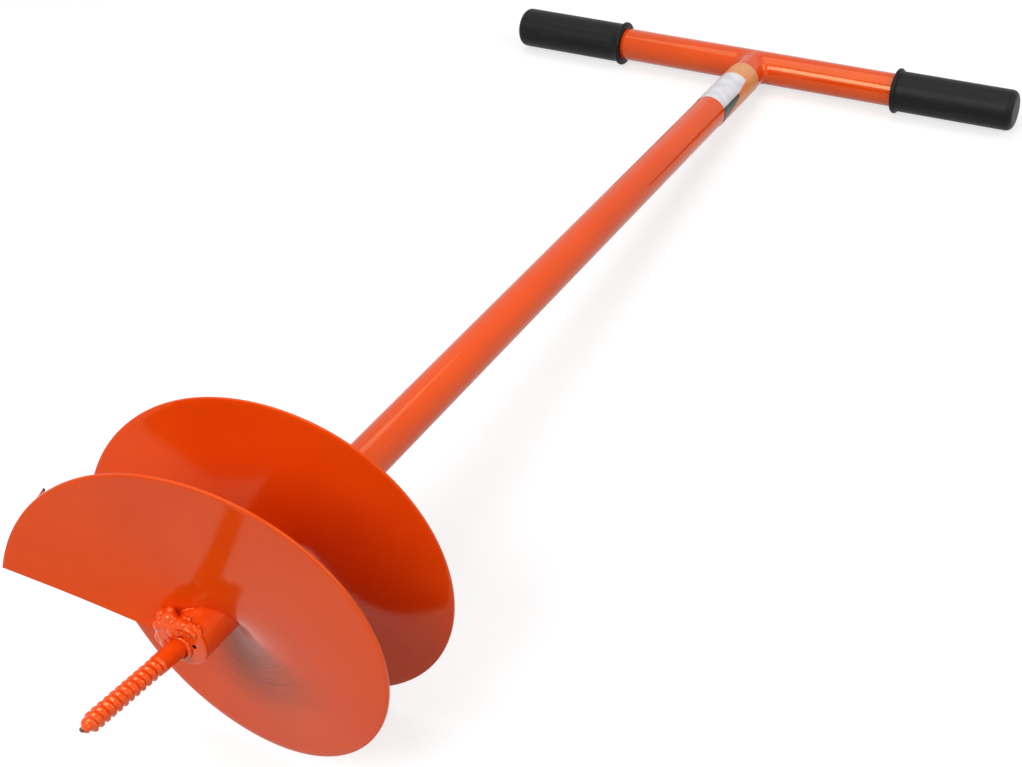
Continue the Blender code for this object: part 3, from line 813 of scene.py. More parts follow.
@dataclass
class Handle:
    """Crossbar, shaft, saddle weld, grips and label."""

    grip_length: float = 0.092
    grip_wall: float = 0.0024
    grip_end_wall: float = 0.003
    grip_end_rounding: float = 0.0052
    collar_radius: float = 0.0019
    collar_neck: Pair = (0.0002, 0.0039)
    sleeve_end: float = 0.0044
    tube_rounding: float = 0.0003
    weld_sides: Pair = (0.0035, 0.0035)
    weld_front: Pair = (0.0055, 0.0080)
    weld_fullness: float = 0.50
    weld_unevenness: float = 0.25
    weld_sink: float = 0.0005
    label_drop: float = 0.0105
    label_height: float = 0.069
    label_slip: float = 0.0025
    label_width: float = 0.062
    label_thickness: float = 0.0003
    label_play: float = 0.0001
    label_angle: float = math.radians(-54)
    across: Matrix = field(default_factory=lambda: Matrix.Translation(
        (STOCK.crossbar_offset, 0, STOCK.handle_height)) @ Matrix.Rotation(math.pi / 2, 4, "Y"))

    def tube(self, bottom: float, top: float) -> Item:
        """A length of round tube on Z with softened ends."""
        item = cylinder(STOCK.tube_radius, bottom, top, ends="NOTHING")
        add_wall(item, STOCK.tube_wall, -1)
        add_bevel(item, self.tube_rounding)
        apply_all(item)
        return item

    def crossbar(self) -> Item:
        """The crossbar, open at both ends inside the grips."""
        half = STOCK.crossbar_length / 2
        item = self.tube(-half, half)
        place_in_mesh(item, self.across)
        return item

    def shaft(self) -> Item:
        """The shaft, its top coped to the crossbar."""
        item = self.tube(STOCK.cap_thickness, STOCK.handle_height)
        cope = cylinder(STOCK.tube_radius, -2 * STOCK.tube_radius, 2 * STOCK.tube_radius)
        place_in_mesh(cope, self.across)
        cut_away(item, cope)
        return item

    def saddle_weld(self) -> Item:
        """Fillet in the corners of shaft and crossbar, dressed smooth under the paint.

        Each section across the shaft is a smooth curve that leaves both tubes along their own lines.
        """
        radius, top = STOCK.tube_radius, STOCK.handle_height

        def place(u: float, v: float) -> Vector:
            turn = math.pi * (u - 0.5)
            across, out = math.sin(turn), math.cos(turn)
            low, far = (side + (front - side) * across**2
                        for side, front in zip(self.weld_sides, self.weld_front))
            corner = Vector((radius * out, radius * across, top - radius * out))
            on_shaft = corner - Vector((0, 0, low))
            on_bar = corner + Vector((far, 0, 0))
            if v <= 0.5:
                share = 2 * v
                lump = 1 + self.weld_unevenness * noise.noise(Vector((11 * u, 3 * v, 0.5)))
                full = self.weld_fullness * lump
                first, second = on_shaft.lerp(corner, full), on_bar.lerp(corner, full)
                return (on_shaft * (1 - share)**3 + first * 3 * share * (1 - share)**2
                        + second * 3 * share**2 * (1 - share) + on_bar * share**3)
            sunk = [on_bar, on_bar + Vector((0, -across, out)) * self.weld_sink,
                    corner + Vector((-out, -across, out)) * self.weld_sink,
                    on_shaft + Vector((-out, -across, 0)) * self.weld_sink, on_shaft]
            walked = 2 * (len(sunk) - 1) * (v - 0.5)
            step = min(len(sunk) - 2, int(walked))
            return sunk[step].lerp(sunk[step + 1], walked - step)

        item = wrapped_grid(120, 48, place)
        close_up(item)
        edit(item)
        bpy.ops.mesh.fill_holes(sides=0)
        bpy.ops.mesh.normals_make_consistent(inside=False)
        leave()
        activate(item)
        bpy.ops.object.duplicate(linked=False)
        other = bpy.context.active_object
        place_in_mesh(other, Matrix.Rotation(math.pi, 4, "Z"))
        return join([item, other])

    def grip(self, side: int) -> Item:
        """One push-on grip: a closed round end, a plain sleeve and a rolled collar at the mouth.

        Args:
            side: -1 for the left end of the crossbar, 1 for the right.

        Returns:
            The grip, in place on the crossbar.
        """
        top = self.grip_end_wall + STOCK.gap
        mouth = top - self.grip_length
        inner = STOCK.tube_radius
        outer = inner + STOCK.gap + self.grip_wall
        rounding = self.grip_end_rounding
        profile = [(0, top)]
        profile += arc((outer - rounding, top - rounding), rounding, 90, 0, 10)
        profile += [(outer, z) for z in np.linspace(top - rounding, mouth + self.sleeve_end, 16)[1:]]
        profile += [(outer + self.collar_neck[0], mouth + self.collar_neck[1])]
        profile += arc((outer, mouth + self.collar_radius), self.collar_radius, 75, -90, 12)
        profile += [(inner, mouth), (inner, 0), (0, 0)]
        item = spun(profile)
        turn = Matrix.Rotation(side * math.pi / 2, 4, "Y")
        end = (STOCK.crossbar_offset + side * STOCK.crossbar_length / 2, 0, STOCK.handle_height)
        place_in_mesh(item, Matrix.Translation(end) @ turn)
        return item

    def label(self) -> Item:
        """Sticker wrapped round the top of the shaft."""
        radius = STOCK.tube_radius + self.label_play
        top = STOCK.handle_height - STOCK.tube_radius - self.label_drop - self.label_slip

        def place(u: float, v: float) -> Vector:
            angle = self.label_angle + (u - 0.5) * self.label_width / (STOCK.tube_radius + STOCK.gap)
            return polar(radius, angle, top - (1 - v) * (self.label_height - self.label_slip))

        item = wrapped_grid(64, 40, place)
        add_wall(item, self.label_thickness, 1)
        apply_all(item)
        return item

    def build(self, paint: Material, pvc: Material, vinyl: Material) -> None:
        """Build and dress the handle."""
        hand_over(self.crossbar(), "crossbar", paint, Slot.PAINT, "crossbar_tube")
        hand_over(self.shaft(), "shaft", paint, Slot.PAINT, "shaft_tube")
        hand_over(self.saddle_weld(), "saddle_weld", paint, Slot.PAINT, "handle_weld")
        hand_over(self.grip(-1), "left_grip", pvc, Slot.PVC, "grip_left")
        hand_over(self.grip(1), "right_grip", pvc, Slot.PVC, "grip_right")
        hand_over(self.label(), "blank_label", vinyl, Slot.VINYL, "label")


@dataclass
class Flight:
    """Two rings of sheet stretched round the shaft, their welds and the side cutter."""

    radius: float = 0.100
    ring_turn: float = 0.975
    leading_angle: float = math.radians(-165.8)
    rim_drop: float = 0.0144
    rim_pitch: float = 0.0622
    rim_swell: float = 0.015
    rim_swell_profile: dict[float, float] = field(default_factory=lambda: {
        0.0: 0.0, 0.05: -0.05, 0.1: 0.03, 0.2: 0.57, 0.3: 0.72, 0.4: 1.01, 0.44: 0.97,
        0.5: 0.53, 0.6: 0.51, 0.7: 0.84, 0.8: 0.65, 0.9: 0.24, 1.0: 0.0})
    root_start: float = 0.006
    root_pitch: float = 0.040
    root_gain: float = 0.0054
    root_swell: float = 0.0092
    root_swell_profile: dict[float, float] = field(default_factory=lambda: {
        0.0: 0.0, 0.29: 0.0, 0.41: 0.5, 0.51: 0.85, 0.62: 1.0, 0.72: 0.93, 0.82: 0.48, 1.0: 0.0})
    leading_skew: float = 0.005
    leading_bow: float = 0.0009
    bow_peak: float = 0.2
    sheet_rounding: float = 0.00025
    bead_radius: float = 0.0015
    seam_pitch: float = 0.0013
    seam_ends: Pair = (0.0018, 0.002)
    fillet_pitch: float = 0.0014
    stitch_sunk: float = 0.0004
    stitches: int = 4
    stitch_turn: float = 0.12
    cutter_turn: float = 0.055
    cutter_length: float = 0.018
    cutter_height: float = 0.011
    cutter_proud: float = 0.0004
    cutter_low_end: float = 0.0025
    cutter_thin_end: float = 0.0008
    cutter_flare: float = 0.0031
    cutter_sunk: float = 0.0004
    cutter_rounding: float = 0.0002
    cutter_bead_sunk: float = 0.0003
    cutter_bare: float = 0.0024
    columns_per_turn: int = 240
    rows: int = 26

    def swell(self, turn: float, swell: float, profile: dict[float, float]) -> float:
        """Height of a swell at a turn, on a smooth curve through its profile.

        Args:
            turn: Turn from the leading edge.
            swell: The swell's full height.
            profile: Share of the swell at each share of the flight's length.

        Returns:
            The height.
        """
        stations = np.array(list(profile))
        heights = swell * np.array(list(profile.values()))
        slopes = np.gradient(heights, stations)
        station = turn / (2 * self.ring_turn)
        index = int(np.clip(np.searchsorted(stations, station, side="right") - 1, 0, len(stations) - 2))
        width = stations[index + 1] - stations[index]
        t = (station - stations[index]) / width
        start, end = heights[index:index + 2]
        start_slope, end_slope = slopes[index:index + 2] * width
        return float((2 * t**3 - 3 * t**2 + 1) * start + (t**3 - 2 * t**2 + t) * start_slope
                     + (3 * t**2 - 2 * t**3) * end + (t**3 - t**2) * end_slope)

    def rim_height(self, turn: float) -> float:
        """Height of the sheet's underside at the rim: an even climb plus the swell of the stretch."""
        climb = -self.rim_drop + self.rim_pitch * turn
        return climb + self.swell(turn, self.rim_swell, self.rim_swell_profile)

    def root_height(self, turn: float) -> float:
        """Height of the sheet's underside at the shaft."""
        climb = self.root_start + self.root_pitch * turn + self.root_gain * turn**2
        return climb + self.swell(turn, self.root_swell, self.root_swell_profile)

    def underside(self, turn: float, radius: float) -> Vector:
        """Point of the sheet's underside."""
        share = (radius - STOCK.tube_radius) / (self.radius - STOCK.tube_radius)
        height = self.root_height(turn) * (1 - share) + self.rim_height(turn) * share
        angle = self.leading_angle + 2 * math.pi * turn
        return polar(radius, angle, height)

    def normal(self, turn: float, radius: float) -> Vector:
        """The sheet's upward normal."""
        step = 0.001
        along = self.underside(turn + step, radius) - self.underside(turn - step, radius)
        inward = self.underside(turn, radius - step) - self.underside(turn, radius + step)
        return along.cross(inward).normalized()

    def lifted(self, turn: float, radius: float, lift: float) -> Vector:
        """Point at a height above the sheet's underside, along its normal."""
        return self.underside(turn, radius) + self.normal(turn, radius) * lift

    def leading_reach(self, share: float) -> float:
        """How far the leading edge runs ahead of its radius."""
        bow = share * (1 - share)**4 / (self.bow_peak * (1 - self.bow_peak)**4)
        return self.leading_skew * (1 - share) + self.leading_bow * bow

    def ring(self, start: float, end: float, leading: bool, thickness: float = STOCK.sheet,
             base: float = 0.0) -> Item:
        """One ring of the flight.

        Args:
            start: Turn of its first radial edge.
            end: Turn of its last radial edge.
            leading: Whether its first edge is the skewed leading edge.
            thickness: Thickness of the sheet.
            base: Height of its underside above the sheet's own.

        Returns:
            The ring.
        """
        inside = STOCK.tube_radius - STOCK.tube_wall / 2
        first_share = (STOCK.tube_radius - inside) / (self.radius - inside)

        def place(u: float, v: float) -> Vector:
            share = first_share + (1 - first_share) * (1 - v)
            radius = inside + (self.radius - inside) * share
            ahead = self.leading_reach(share) / (2 * math.pi * radius) if leading else 0.0
            return self.lifted(start - ahead + (end - start + ahead) * u, radius, base)

        item = wrapped_grid(round((end - start) * self.columns_per_turn), self.rows, place)
        add_wall(item, thickness, 1)
        if base == 0.0:
            add_bevel(item, self.sheet_rounding)
        apply_all(item)
        return item

    def seam_weld(self) -> Item:
        """Radial butt weld between the rings."""
        first, last = self.seam_ends
        radii = np.linspace(STOCK.tube_radius + first, self.radius - last, 24)
        path = [self.lifted(self.ring_turn, r, STOCK.sheet / 2) for r in radii]
        lifts = [self.normal(self.ring_turn, r) for r in radii]
        return WeldBead(self.bead_radius, pitch=self.seam_pitch).lay(path, lifts)

    def stitch_weld(self, ring: int, stitch: int) -> Item:
        """Short fillet between the sheet's upper face and the shaft."""
        middle = self.ring_turn * (ring + (stitch + 0.5) / self.stitches)
        lift = STOCK.sheet + STOCK.gap + self.bead_radius
        radius = STOCK.tube_radius + STOCK.gap + self.bead_radius
        turns = np.linspace(middle - self.stitch_turn / 2, middle + self.stitch_turn / 2, 24)
        path = [self.lifted(turn, radius - self.stitch_sunk, lift - self.stitch_sunk) for turn in turns]
        lifts = []
        for turn in turns:
            angle = self.leading_angle + 2 * math.pi * turn
            lifts.append(self.normal(turn, radius) + polar(1, angle, 0))
        bead = WeldBead(self.bead_radius, pitch=self.fillet_pitch, seed=3.7 * ring + stitch)
        return bead.lay(path, lifts)

    @property
    def cutter_angle(self) -> float:
        """Direction from the shaft to the side cutter's near end."""
        return self.leading_angle + 2 * math.pi * self.cutter_turn

    @property
    def rim_tilt(self) -> float:
        """Rise of the sheet from the rim inwards, at the side cutter."""
        fall = self.root_height(self.cutter_turn) - self.rim_height(self.cutter_turn)
        return fall / (self.radius - STOCK.tube_radius)

    def side_cutter(self) -> Item:
        """Small plate that stands on the rim behind the leading corner, ground away towards it."""
        foot = self.rim_height(self.cutter_turn)
        height = self.cutter_height + STOCK.sheet
        outer = self.radius + self.cutter_proud
        deselect()
        bpy.ops.mesh.primitive_cube_add(size=1)
        item = bpy.context.active_object
        edit(item)
        bpy.ops.transform.resize(value=(STOCK.sheet, self.cutter_length, height))
        middle = (outer - STOCK.sheet / 2, self.cutter_length / 2, foot + height / 2)
        bpy.ops.transform.translate(value=middle)
        bpy.ops.mesh.subdivide(number_cuts=7)
        leave()
        for vert in item.data.vertices:
            share = max(0.0, vert.co.y / self.cutter_length)
            risen = (vert.co.z - foot) / height
            thick = (self.cutter_thin_end + (STOCK.sheet - self.cutter_thin_end) * share) / STOCK.sheet
            vert.co.x = outer - STOCK.sheet + (vert.co.x - outer + STOCK.sheet) * thick
            inset = self.cutter_flare * share**1.5
            stand = self.rim_height(self.cutter_turn + vert.co.y / (2 * math.pi * self.radius))
            stand += self.cutter_sunk + self.rim_tilt * max(0.0, self.radius - vert.co.x + inset)
            top = foot + self.cutter_low_end + (height - self.cutter_low_end) * share
            vert.co.z = stand + (top - stand) * risen
            vert.co.x -= inset * (1 - risen)
        add_bevel(item, self.cutter_rounding)
        apply_all(item)
        place_in_mesh(item, Matrix.Rotation(self.cutter_angle, 4, "Z"))
        return item

    def side_cutter_weld(self) -> Item:
        """Bead at the foot of the side cutter."""
        lift = STOCK.sheet + STOCK.gap + self.bead_radius
        face = self.radius + self.cutter_proud - STOCK.sheet
        reach = face - STOCK.gap - self.bead_radius - lift * self.rim_tilt
        last = self.cutter_turn + self.cutter_length / (2 * math.pi * self.radius)
        turns = np.linspace(self.cutter_turn, last, 16)
        path = [self.lifted(turn, reach, lift - self.cutter_bead_sunk) for turn in turns]
        lifts = [self.normal(turn, reach) for turn in turns]
        return WeldBead(self.bead_radius, pitch=self.fillet_pitch, seed=11).lay(path, lifts)

    def cutter_paint(self) -> PowderCoat:
        """Finish of the side cutter, darker and browner than the other paint, whose highest corner is bare.
        """
        top = self.rim_height(self.cutter_turn) + self.cutter_height + STOCK.sheet
        return PowderCoat("powder_coat_cutter", colour=(0.52, 0.085, 0.03, 1.0), deep=(0.38, 0.06, 0.02, 1.0),
                          bare_along=Vector((0, 0, 1)), bare_from=top - self.cutter_bare)

    def build(self, sheet_paint: Material, paint: Material, cutter_paint: Material) -> None:
        """Build and dress the flight."""
        slot_share = self.bead_radius / (2 * math.pi * self.radius)
        first = self.ring(0, self.ring_turn - slot_share, True)
        hand_over(first, "first_ring", sheet_paint, Slot.PAINT, "lower_flight")
        second = self.ring(self.ring_turn + slot_share, 2 * self.ring_turn, False)
        hand_over(second, "second_ring", sheet_paint, Slot.PAINT, "upper_flight")
        hand_over(self.seam_weld(), "ring_seam_weld", paint, Slot.PAINT, "flight_seam_weld")
        for ring, word in enumerate(("lower", "upper")):
            for stitch in range(self.stitches):
                hand_over(self.stitch_weld(ring, stitch), f"{word}_stitch_{stitch + 1}", paint, Slot.PAINT,
                          f"{word}_flight_weld_{stitch + 1}")
        hand_over(self.side_cutter(), "rim_cutter", cutter_paint, Slot.PAINT, "side_cutter")
        hand_over(self.side_cutter_weld(), "rim_cutter_weld", paint, Slot.PAINT, "side_cutter_weld")


@dataclass(frozen=True)
class PoolCourse:
    """One course of weld round the cap: its ends in degrees, its height, its lumps and its reach."""

    first: float
    last: float
    height: float
    radius: float
    taper: float
    lumps: int
    reach: float


@dataclass
class Point:
    """End cap, coach screw, its neck weld and the weld pile at the nose.

    A lobe, a drop or a spatter is a ball, given as its centre and its radius.
    """

    flight: Flight
    courses: tuple[PoolCourse, ...] = (
        PoolCourse(196, 316, 0.0024, 0.0024, 0.25, 22, 0.0119),
        PoolCourse(168, 300, 0.0010, 0.0033, 0.30, 20, 0.0108),
        PoolCourse(172, 290, 0.0006, 0.0029, 0.20, 16, 0.0080))
    lobes: tuple[Ball, ...] = (
        (-0.0138, -0.0071, 0.0012, 0.0044), (-0.0122, 0.0012, 0.0002, 0.0031),
        (-0.0128, -0.0024, 0.0006, 0.0038), (-0.0048, -0.0073, 0.0008, 0.0046),
        (-0.0084, -0.0041, 0.0002, 0.0036), (0.0010, -0.0122, 0.0004, 0.0024),
        (-0.0091, -0.0119, 0.0026, 0.0040), (-0.0095, -0.0150, 0.0044, 0.0022),
        (-0.0143, -0.0113, 0.0036, 0.0032), (-0.0022, -0.0110, 0.0012, 0.0034),
        (-0.0100, -0.0079, 0.0012, 0.0042))
    drops: tuple[Ball, ...] = (
        (-0.0008, -0.0137, 0.0040, 0.0010), (0.0014, -0.0124, 0.0030, 0.0011),
        (0.0062, -0.0090, 0.0004, 0.0009), (0.0070, -0.0106, 0.0034, 0.0008),
        (0.0040, -0.0123, 0.0018, 0.0009), (-0.0089, -0.0104, 0.0022, 0.0012),
        (-0.0137, -0.0106, 0.0030, 0.0011), (-0.0034, -0.0118, 0.0015, 0.0010))
    spatter: tuple[Ball, ...] = (
        (-0.0031, -0.0121, 0.0201, 0.0006), (0.0039, -0.0119, 0.0210, 0.0005),
        (0.0002, -0.0125, 0.0150, 0.0004))
    cap_rounding: float = 0.0008
    vent_radius: float = 0.00120
    vent_offset: Pair = (0.0057, -0.0005)
    screw_length: float = 0.071
    shank_radius: float = 0.00525
    crest_radius: float = 0.00505
    root_radius: float = 0.0041
    thread_length: float = 0.054
    thread_pitch: float = 0.0042
    tip_length: float = 0.008
    tip_blunt: float = 0.0012
    thread_overlap: float = 0.001
    thread_run_in: float = 0.004
    shank_waviness: float = 0.012
    paint_clots: float = 0.00016
    clot_scale: float = 1100
    clot_turn: float = 3.2
    stub_length: float = 0.004
    screw_offset: Pair = (-0.0036, 0.0027)
    lean: float = math.radians(3.9)
    lean_direction: float = math.radians(-133)
    neck_bead: float = 0.0013
    neck_stand: float = 0.0011
    neck_drop: float = 0.0007
    neck_ripple: float = 0.12
    neck_pitch: float = 0.0021
    neck_unevenness: float = 0.40
    pile_voxel: float = 0.00028
    pile_softening: int = 28
    pile_ripple: float = 0.00012
    pile_ripple_size: float = 0.0045
    pile_clearance: float = 0.0003
    root_lumps: int = 9
    root_lump_radius: float = 0.0034
    root_lump_stand: float = 0.0032
    root_start: float = -0.075
    root_end: float = 0.045
    seam_lumps: int = 16
    seam_radius: float = 0.0013
    seam_end: float = 0.190
    seam_sunk: Pair = (0.0003, 0.0005)
    course_wander: float = 0.0003
    last_turn: float = 0.084
    last_stand: float = 0.0047
    last_radius: float = 0.0024
    last_ball: float = 0.0023
    drop_stand: float = 0.35
    edge_lumps: int = 30
    edge_lump_radius: float = 0.0028
    edge_taper: float = 0.45
    edge_inset: float = 0.0012
    edge_start: float = math.radians(160)
    edge_end: float = math.radians(308)

    def screw_frame(self) -> Matrix:
        """Placement of the leaning screw: origin on the cap's lower face, -Z towards the tip."""
        axis = Vector((-math.sin(self.lean_direction), math.cos(self.lean_direction), 0))
        return Matrix.Translation((*self.screw_offset, 0)) @ Matrix.Rotation(-self.lean, 4, axis)

    def end_cap(self) -> Item:
        """Disc that closes the shaft, with its small vent."""
        item = cylinder(STOCK.tube_radius, 0, STOCK.cap_thickness)
        select_edges(item, lambda a, b: abs(a.z) < 1e-6 and abs(b.z) < 1e-6)
        bpy.ops.mesh.bevel(offset=self.cap_rounding, segments=4, profile=0.5)
        leave()
        vent = cylinder(self.vent_radius, -0.002, 0.005, facets=32)
        place_in_mesh(vent, Matrix.Translation((*self.vent_offset, 0)))
        cut_away(item, vent)
        return item

    def thread_radius(self, depth: float, angle: float) -> float:
        """Radius of the screw's skin at a depth below the cap and an angle round its axis."""
        shoulder = self.screw_length - self.thread_length
        if depth < shoulder - self.thread_overlap:
            wave = noise.noise(Vector((depth * 300, angle, 0)))
            return self.shank_radius * (1 + self.shank_waviness * wave)
        into = max(0.0, min(1.0, (depth - shoulder + self.thread_overlap) / self.thread_run_in))
        left = self.screw_length - depth
        full = min(1.0, (left + self.tip_blunt) / self.tip_length)
        share = (depth / self.thread_pitch + angle / (2 * math.pi)) % 1.0
        ridge = max(0.0, 0.5 - 0.62 * math.cos(2 * math.pi * share)) ** 1.25
        crest = self.crest_radius * full ** 0.75
        root = self.root_radius * full ** 0.9
        radius = root + (crest - root) * min(1.0, ridge)
        clot = Vector((depth * self.clot_scale, self.clot_turn * math.cos(angle),
                       self.clot_turn * math.sin(angle)))
        radius += self.paint_clots * noise.noise(clot) * full
        return self.shank_radius * (1 - into) + radius * into if into < 1 else radius

    def screw(self) -> Item:
        """The coach screw: smooth shank, coarse right-handed thread and a drawn-out tip."""
        def place(u: float, v: float) -> Vector:
            depth = -self.stub_length + (self.screw_length + self.stub_length) * u
            angle = 2 * math.pi * v
            radius = self.thread_radius(depth, angle)
            if u < 1e-9 or u > 1 - 1e-9:
                radius = 0.0
            return polar(radius, angle, -depth)

        item = wrapped_grid(340, 48, place)
        close_up(item)
        place_in_mesh(item, self.screw_frame())
        return item

    def neck_weld(self) -> Item:
        """Weld ring round the screw's neck."""
        reach = self.shank_radius + self.neck_stand
        path, lifts = [], []
        for angle in np.linspace(0, 2 * math.pi, 97):
            path.append(polar(reach, angle, -self.neck_drop))
            lifts.append(polar(1, angle, -0.8))
        bead = WeldBead(self.neck_bead, ripple=self.neck_ripple, pitch=self.neck_pitch,
                        unevenness=self.neck_unevenness, seed=5)
        item = bead.lay(path, lifts, closed=True)
        place_in_mesh(item, Matrix.Translation((*self.screw_offset, 0)))
        return item

    def last_lump(self) -> Vector:
        """Centre of the ball in which the pile's last course ends."""
        return self.flight.lifted(self.last_turn, STOCK.tube_radius + self.last_stand, -self.last_radius)

    def lumps(self) -> list[tuple[Vector, float]]:
        """Centre and radius of each lump of the nose weld."""
        sheet = self.flight
        found = [(self.last_lump(), self.last_radius)]
        for step in range(self.root_lumps):
            turn = self.root_start + (self.root_end - self.root_start) * step / (self.root_lumps - 1)
            stand = self.root_lump_stand * (1 + step % 2) / 2
            centre = sheet.lifted(turn, STOCK.tube_radius + stand, -self.root_lump_radius / 2)
            found.append((centre, self.root_lump_radius))
        for step in range(self.seam_lumps):
            turn = self.root_end + (self.seam_end - self.root_end) * step / (self.seam_lumps - 1)
            centre = sheet.lifted(turn, STOCK.tube_radius + self.seam_sunk[0], -self.seam_sunk[1])
            share = step / (self.seam_lumps - 1)
            found.append((centre, self.seam_radius * (1 - 0.5 * share) * (1 + 0.15 * math.sin(2.6 * step))))
        for step in range(self.edge_lumps):
            share = step / (self.edge_lumps - 1)
            angle = self.edge_start + (self.edge_end - self.edge_start) * share
            radius = self.edge_lump_radius * (1 - self.edge_taper * share)
            reach = STOCK.tube_radius - self.edge_inset
            found.append((polar(reach, angle, -radius / 4), radius))
        for course in self.courses:
            found += self.run(course)
        found += [(Vector(lobe[:3]), lobe[3]) for lobe in self.lobes]
        return found

    def run(self, course: PoolCourse) -> list[tuple[Vector, float]]:
        """Lumps of one course round the cap."""
        found = []
        for step in range(course.lumps):
            share = step / (course.lumps - 1)
            angle = math.radians(course.first + (course.last - course.first) * share)
            radius = course.radius * (1 - course.taper * share)
            wander = self.course_wander * math.sin(2.3 * step)
            reach = course.reach + wander
            found.append((polar(reach, angle, course.height + wander), radius))
        return found

    def balls(self, places: Sequence[tuple[Vector, float]]) -> Item:
        """Balls at the given places and of the given radii, as one object."""
        made = []
        for centre, radius in places:
            deselect()
            bpy.ops.mesh.primitive_ico_sphere_add(subdivisions=3, radius=radius, location=centre)
            made.append(bpy.context.active_object)
        item = join(made)
        bpy.ops.object.transform_apply(location=True, rotation=True, scale=True)
        return item

    def melt(self, item: Item, softening: int) -> None:
        """Melt what touches in an object into one skin and soften it."""
        melt = item.modifiers.new("melt", "REMESH")
        melt.mode = "VOXEL"
        melt.voxel_size = self.pile_voxel
        soften = item.modifiers.new("soften", "SMOOTH")
        soften.factor = 0.5
        soften.iterations = softening

    def nose_weld(self) -> Item:
        """Weld pile where the leading edge, the shaft and the cap meet, with its drops and spatter."""
        item = self.balls(self.lumps())
        self.melt(item, self.pile_softening)
        clouds = bpy.data.textures.new("weld_ripple", "CLOUDS")
        clouds.noise_scale = self.pile_ripple_size
        clouds.noise_depth = 1
        ripple = item.modifiers.new("ripple", "DISPLACE")
        ripple.texture = clouds
        ripple.strength = self.pile_ripple
        ripple.mid_level = 0.5
        apply_all(item)
        places = [(Vector(mark[:3]), mark[3]) for mark in self.spatter]
        places.append((self.last_lump(), self.last_ball))
        for drop in self.drops:
            skin = item.closest_point_on_mesh(Vector(drop[:3]))
            places.append((skin[1] + skin[2] * drop[3] * self.drop_stand, drop[3]))
        join([item, self.balls(places)])
        self.melt(item, 2)
        apply_all(item)
        back = self.flight.ring(0, self.flight.ring_turn / 2, True, thickness=3 * self.root_lump_radius,
                                base=self.pile_clearance)
        cut_away(item, back)
        return item

    def cap_paint(self) -> PowderCoat:
        """Finish of the cap, dark inside its vent."""
        middle = Vector((*self.vent_offset, STOCK.cap_thickness / 2))
        reach = math.hypot(self.vent_radius, STOCK.cap_thickness / 2)
        return PowderCoat("powder_coat_cap", pit=middle, pit_radius=reach)

    def build(self, paint: Material, screw_paint: Material, cap_paint: Material) -> None:
        """Build and dress the point."""
        hand_over(self.end_cap(), "shaft_end_cap", cap_paint, Slot.PAINT, "end_cap")
        hand_over(self.screw(), "screw_point", screw_paint, Slot.PAINT, "pilot_screw")
        hand_over(self.neck_weld(), "screw_neck_weld", paint, Slot.PAINT, "pilot_weld")
        hand_over(self.nose_weld(), "nose_weld_pile", paint, Slot.PAINT, "nose_weld")


@dataclass(frozen=True)
class Lamp:
    """A soft box turned to the auger."""

    name: str
    place: Triple
    size: Pair
    power: float

    def hang(self) -> None:
        """Hang the lamp."""
        data = bpy.data.lights.new(self.name, "AREA")
        data.shape = "RECTANGLE"
        data.size, data.size_y = self.size
        data.energy = self.power
        lamp = bpy.data.objects.new(self.name, data)
        bpy.context.scene.collection.objects.link(lamp)
        lamp.location = self.place
        lamp.rotation_euler = (-Vector(self.place)).to_track_quat("-Z", "Y").to_euler()


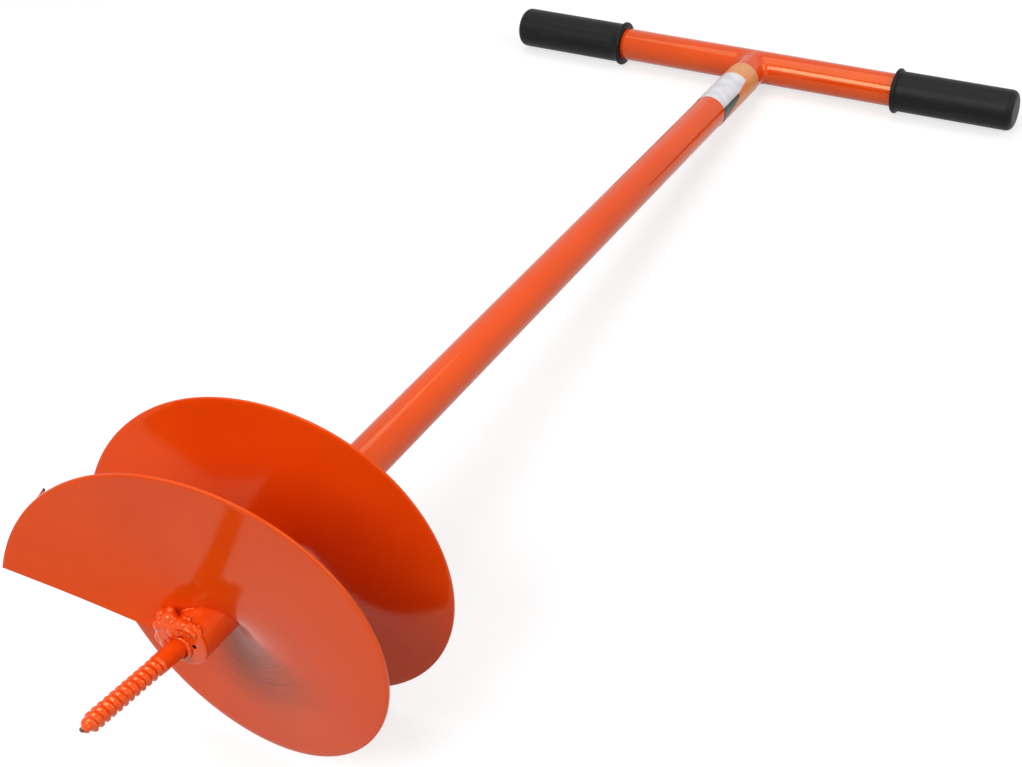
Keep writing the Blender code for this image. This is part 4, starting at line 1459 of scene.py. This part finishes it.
@dataclass
class Studio:
    """Camera, pale floor, plain soft lamps and a white surround."""

    camera_place: Triple = (0.474516, -0.784494, 0.768438)
    camera_turn: Triple = (50.118, 5.308, 27.405)
    focal_length: float = 65.162
    floor_size: float = 14.0
    floor_tone: float = 0.38
    floor_glow: float = 0.68
    floor_far_glow: float = 0.93
    floor_fade: Pair = (1.1, 3.2)
    ambient: float = 0.22
    lamps: tuple[Lamp, ...] = (
        Lamp("window", (-0.20, -1.45, 1.50), (1.00, 0.95), 24.0),
        Lamp("overhead", (-0.30, 0.30, 2.30), (2.00, 2.00), 20.0),
        Lamp("side", (1.90, 0.00, 1.40), (2.00, 2.00), 24.0))

    def camera(self) -> None:
        """Create the camera at the photograph's viewing angle."""
        data = bpy.data.cameras.new("camera")
        data.lens = self.focal_length
        data.sensor_width = 36.0
        data.clip_start = 0.01
        data.clip_end = 100.0
        camera = bpy.data.objects.new("camera", data)
        bpy.context.scene.collection.objects.link(camera)
        camera.location = self.camera_place
        camera.rotation_euler = Euler([math.radians(a) for a in self.camera_turn], "XYZ")
        bpy.context.scene.camera = camera

    def met(self, shader: Shader, *rays: str) -> Socket:
        """Whether a ray of one of the given kinds meets the shaded point."""
        path = shader.node("LightPath").outputs
        found = path[rays[0]]
        for ray in rays[1:]:
            found = shader.maths("MAXIMUM", found, path[ray])
        return found

    def floor(self) -> None:
        """Lay a wide pale floor that shows white and keeps soft shadows."""
        deselect()
        bpy.ops.mesh.primitive_plane_add(size=self.floor_size)
        item = bpy.context.active_object
        item.name = "floor"
        material = bpy.data.materials.new("pale_floor")
        material.use_nodes = True
        shader = Shader(material.node_tree)
        material.node_tree.nodes.clear()
        matt = shader.node("BsdfDiffuse", {"Color": (self.floor_tone, self.floor_tone, self.floor_tone, 1.0)})
        seen = self.met(shader, "Is Camera Ray", "Is Glossy Ray")
        away = shader.vectors("LENGTH", shader.node("TexCoord").outputs["Object"])
        level = shader.ranged(away, *self.floor_fade, self.floor_glow, self.floor_far_glow)
        strength = shader.maths("MULTIPLY", seen, level)
        glow = shader.node("Emission", {"Color": (1, 1, 1, 1), "Strength": strength})
        both = shader.node("AddShader", {0: matt.outputs[0], 1: glow.outputs[0]})
        shader.node("OutputMaterial", {"Surface": both.outputs[0]})
        item.data.materials.append(material)

    def surround(self) -> None:
        """White to the camera, to gloss and to glass, and a plain level of soft light otherwise."""
        world = bpy.data.worlds.new("surround")
        bpy.context.scene.world = world
        world.use_nodes = True
        shader = Shader(world.node_tree)
        world.node_tree.nodes.clear()
        seen = self.met(shader, "Is Camera Ray", "Is Glossy Ray", "Is Transmission Ray")
        level = shader.ranged(seen, 0.0, 1.0, self.ambient, 1.0)
        glow = shader.node("Background", {"Color": (1, 1, 1, 1), "Strength": level})
        shader.node("OutputWorld", {"Surface": glow.outputs[0]})

    def build(self) -> None:
        """Set the stage."""
        self.camera()
        self.floor()
        self.surround()
        for lamp in self.lamps:
            lamp.hang()
        bpy.context.scene.view_settings.view_transform = "Standard"


def main() -> None:
    """Build the auger sub-assembly by sub-assembly, and its studio."""
    effects = Effects()
    tube_paint = PowderCoat("powder_coat_tube").make(effects)
    # The sheets' edges are painted darker as painted shade, and beside the shaft the lower ring carries
    # painted shade in fine circles.
    sheet_paint = PowderCoat("powder_coat_sheet", edge_wear_light_colour=(0.50, 0.11, 0.04, 1.0), edge_wear_and_light=0.8, gloss=0.21,
                             tint=(1.0, 0.95, 0.42, 1.0), roughness=0.10, shade_swirl=0.85).make(effects)
    screw_paint = PowderCoat("powder_coat_screw", bare_along=Vector((0, 0, -1)),
                             bare_from=0.0693).make(effects)
    flight = Flight()
    Handle().build(tube_paint, SoftPvc().make(effects), LabelVinyl().make(effects))
    flight.build(sheet_paint, tube_paint, flight.cutter_paint().make(effects))
    point = Point(flight)
    point.build(tube_paint, screw_paint, point.cap_paint().make(effects))
    Studio().build()


if __name__ == "__main__":
    main()
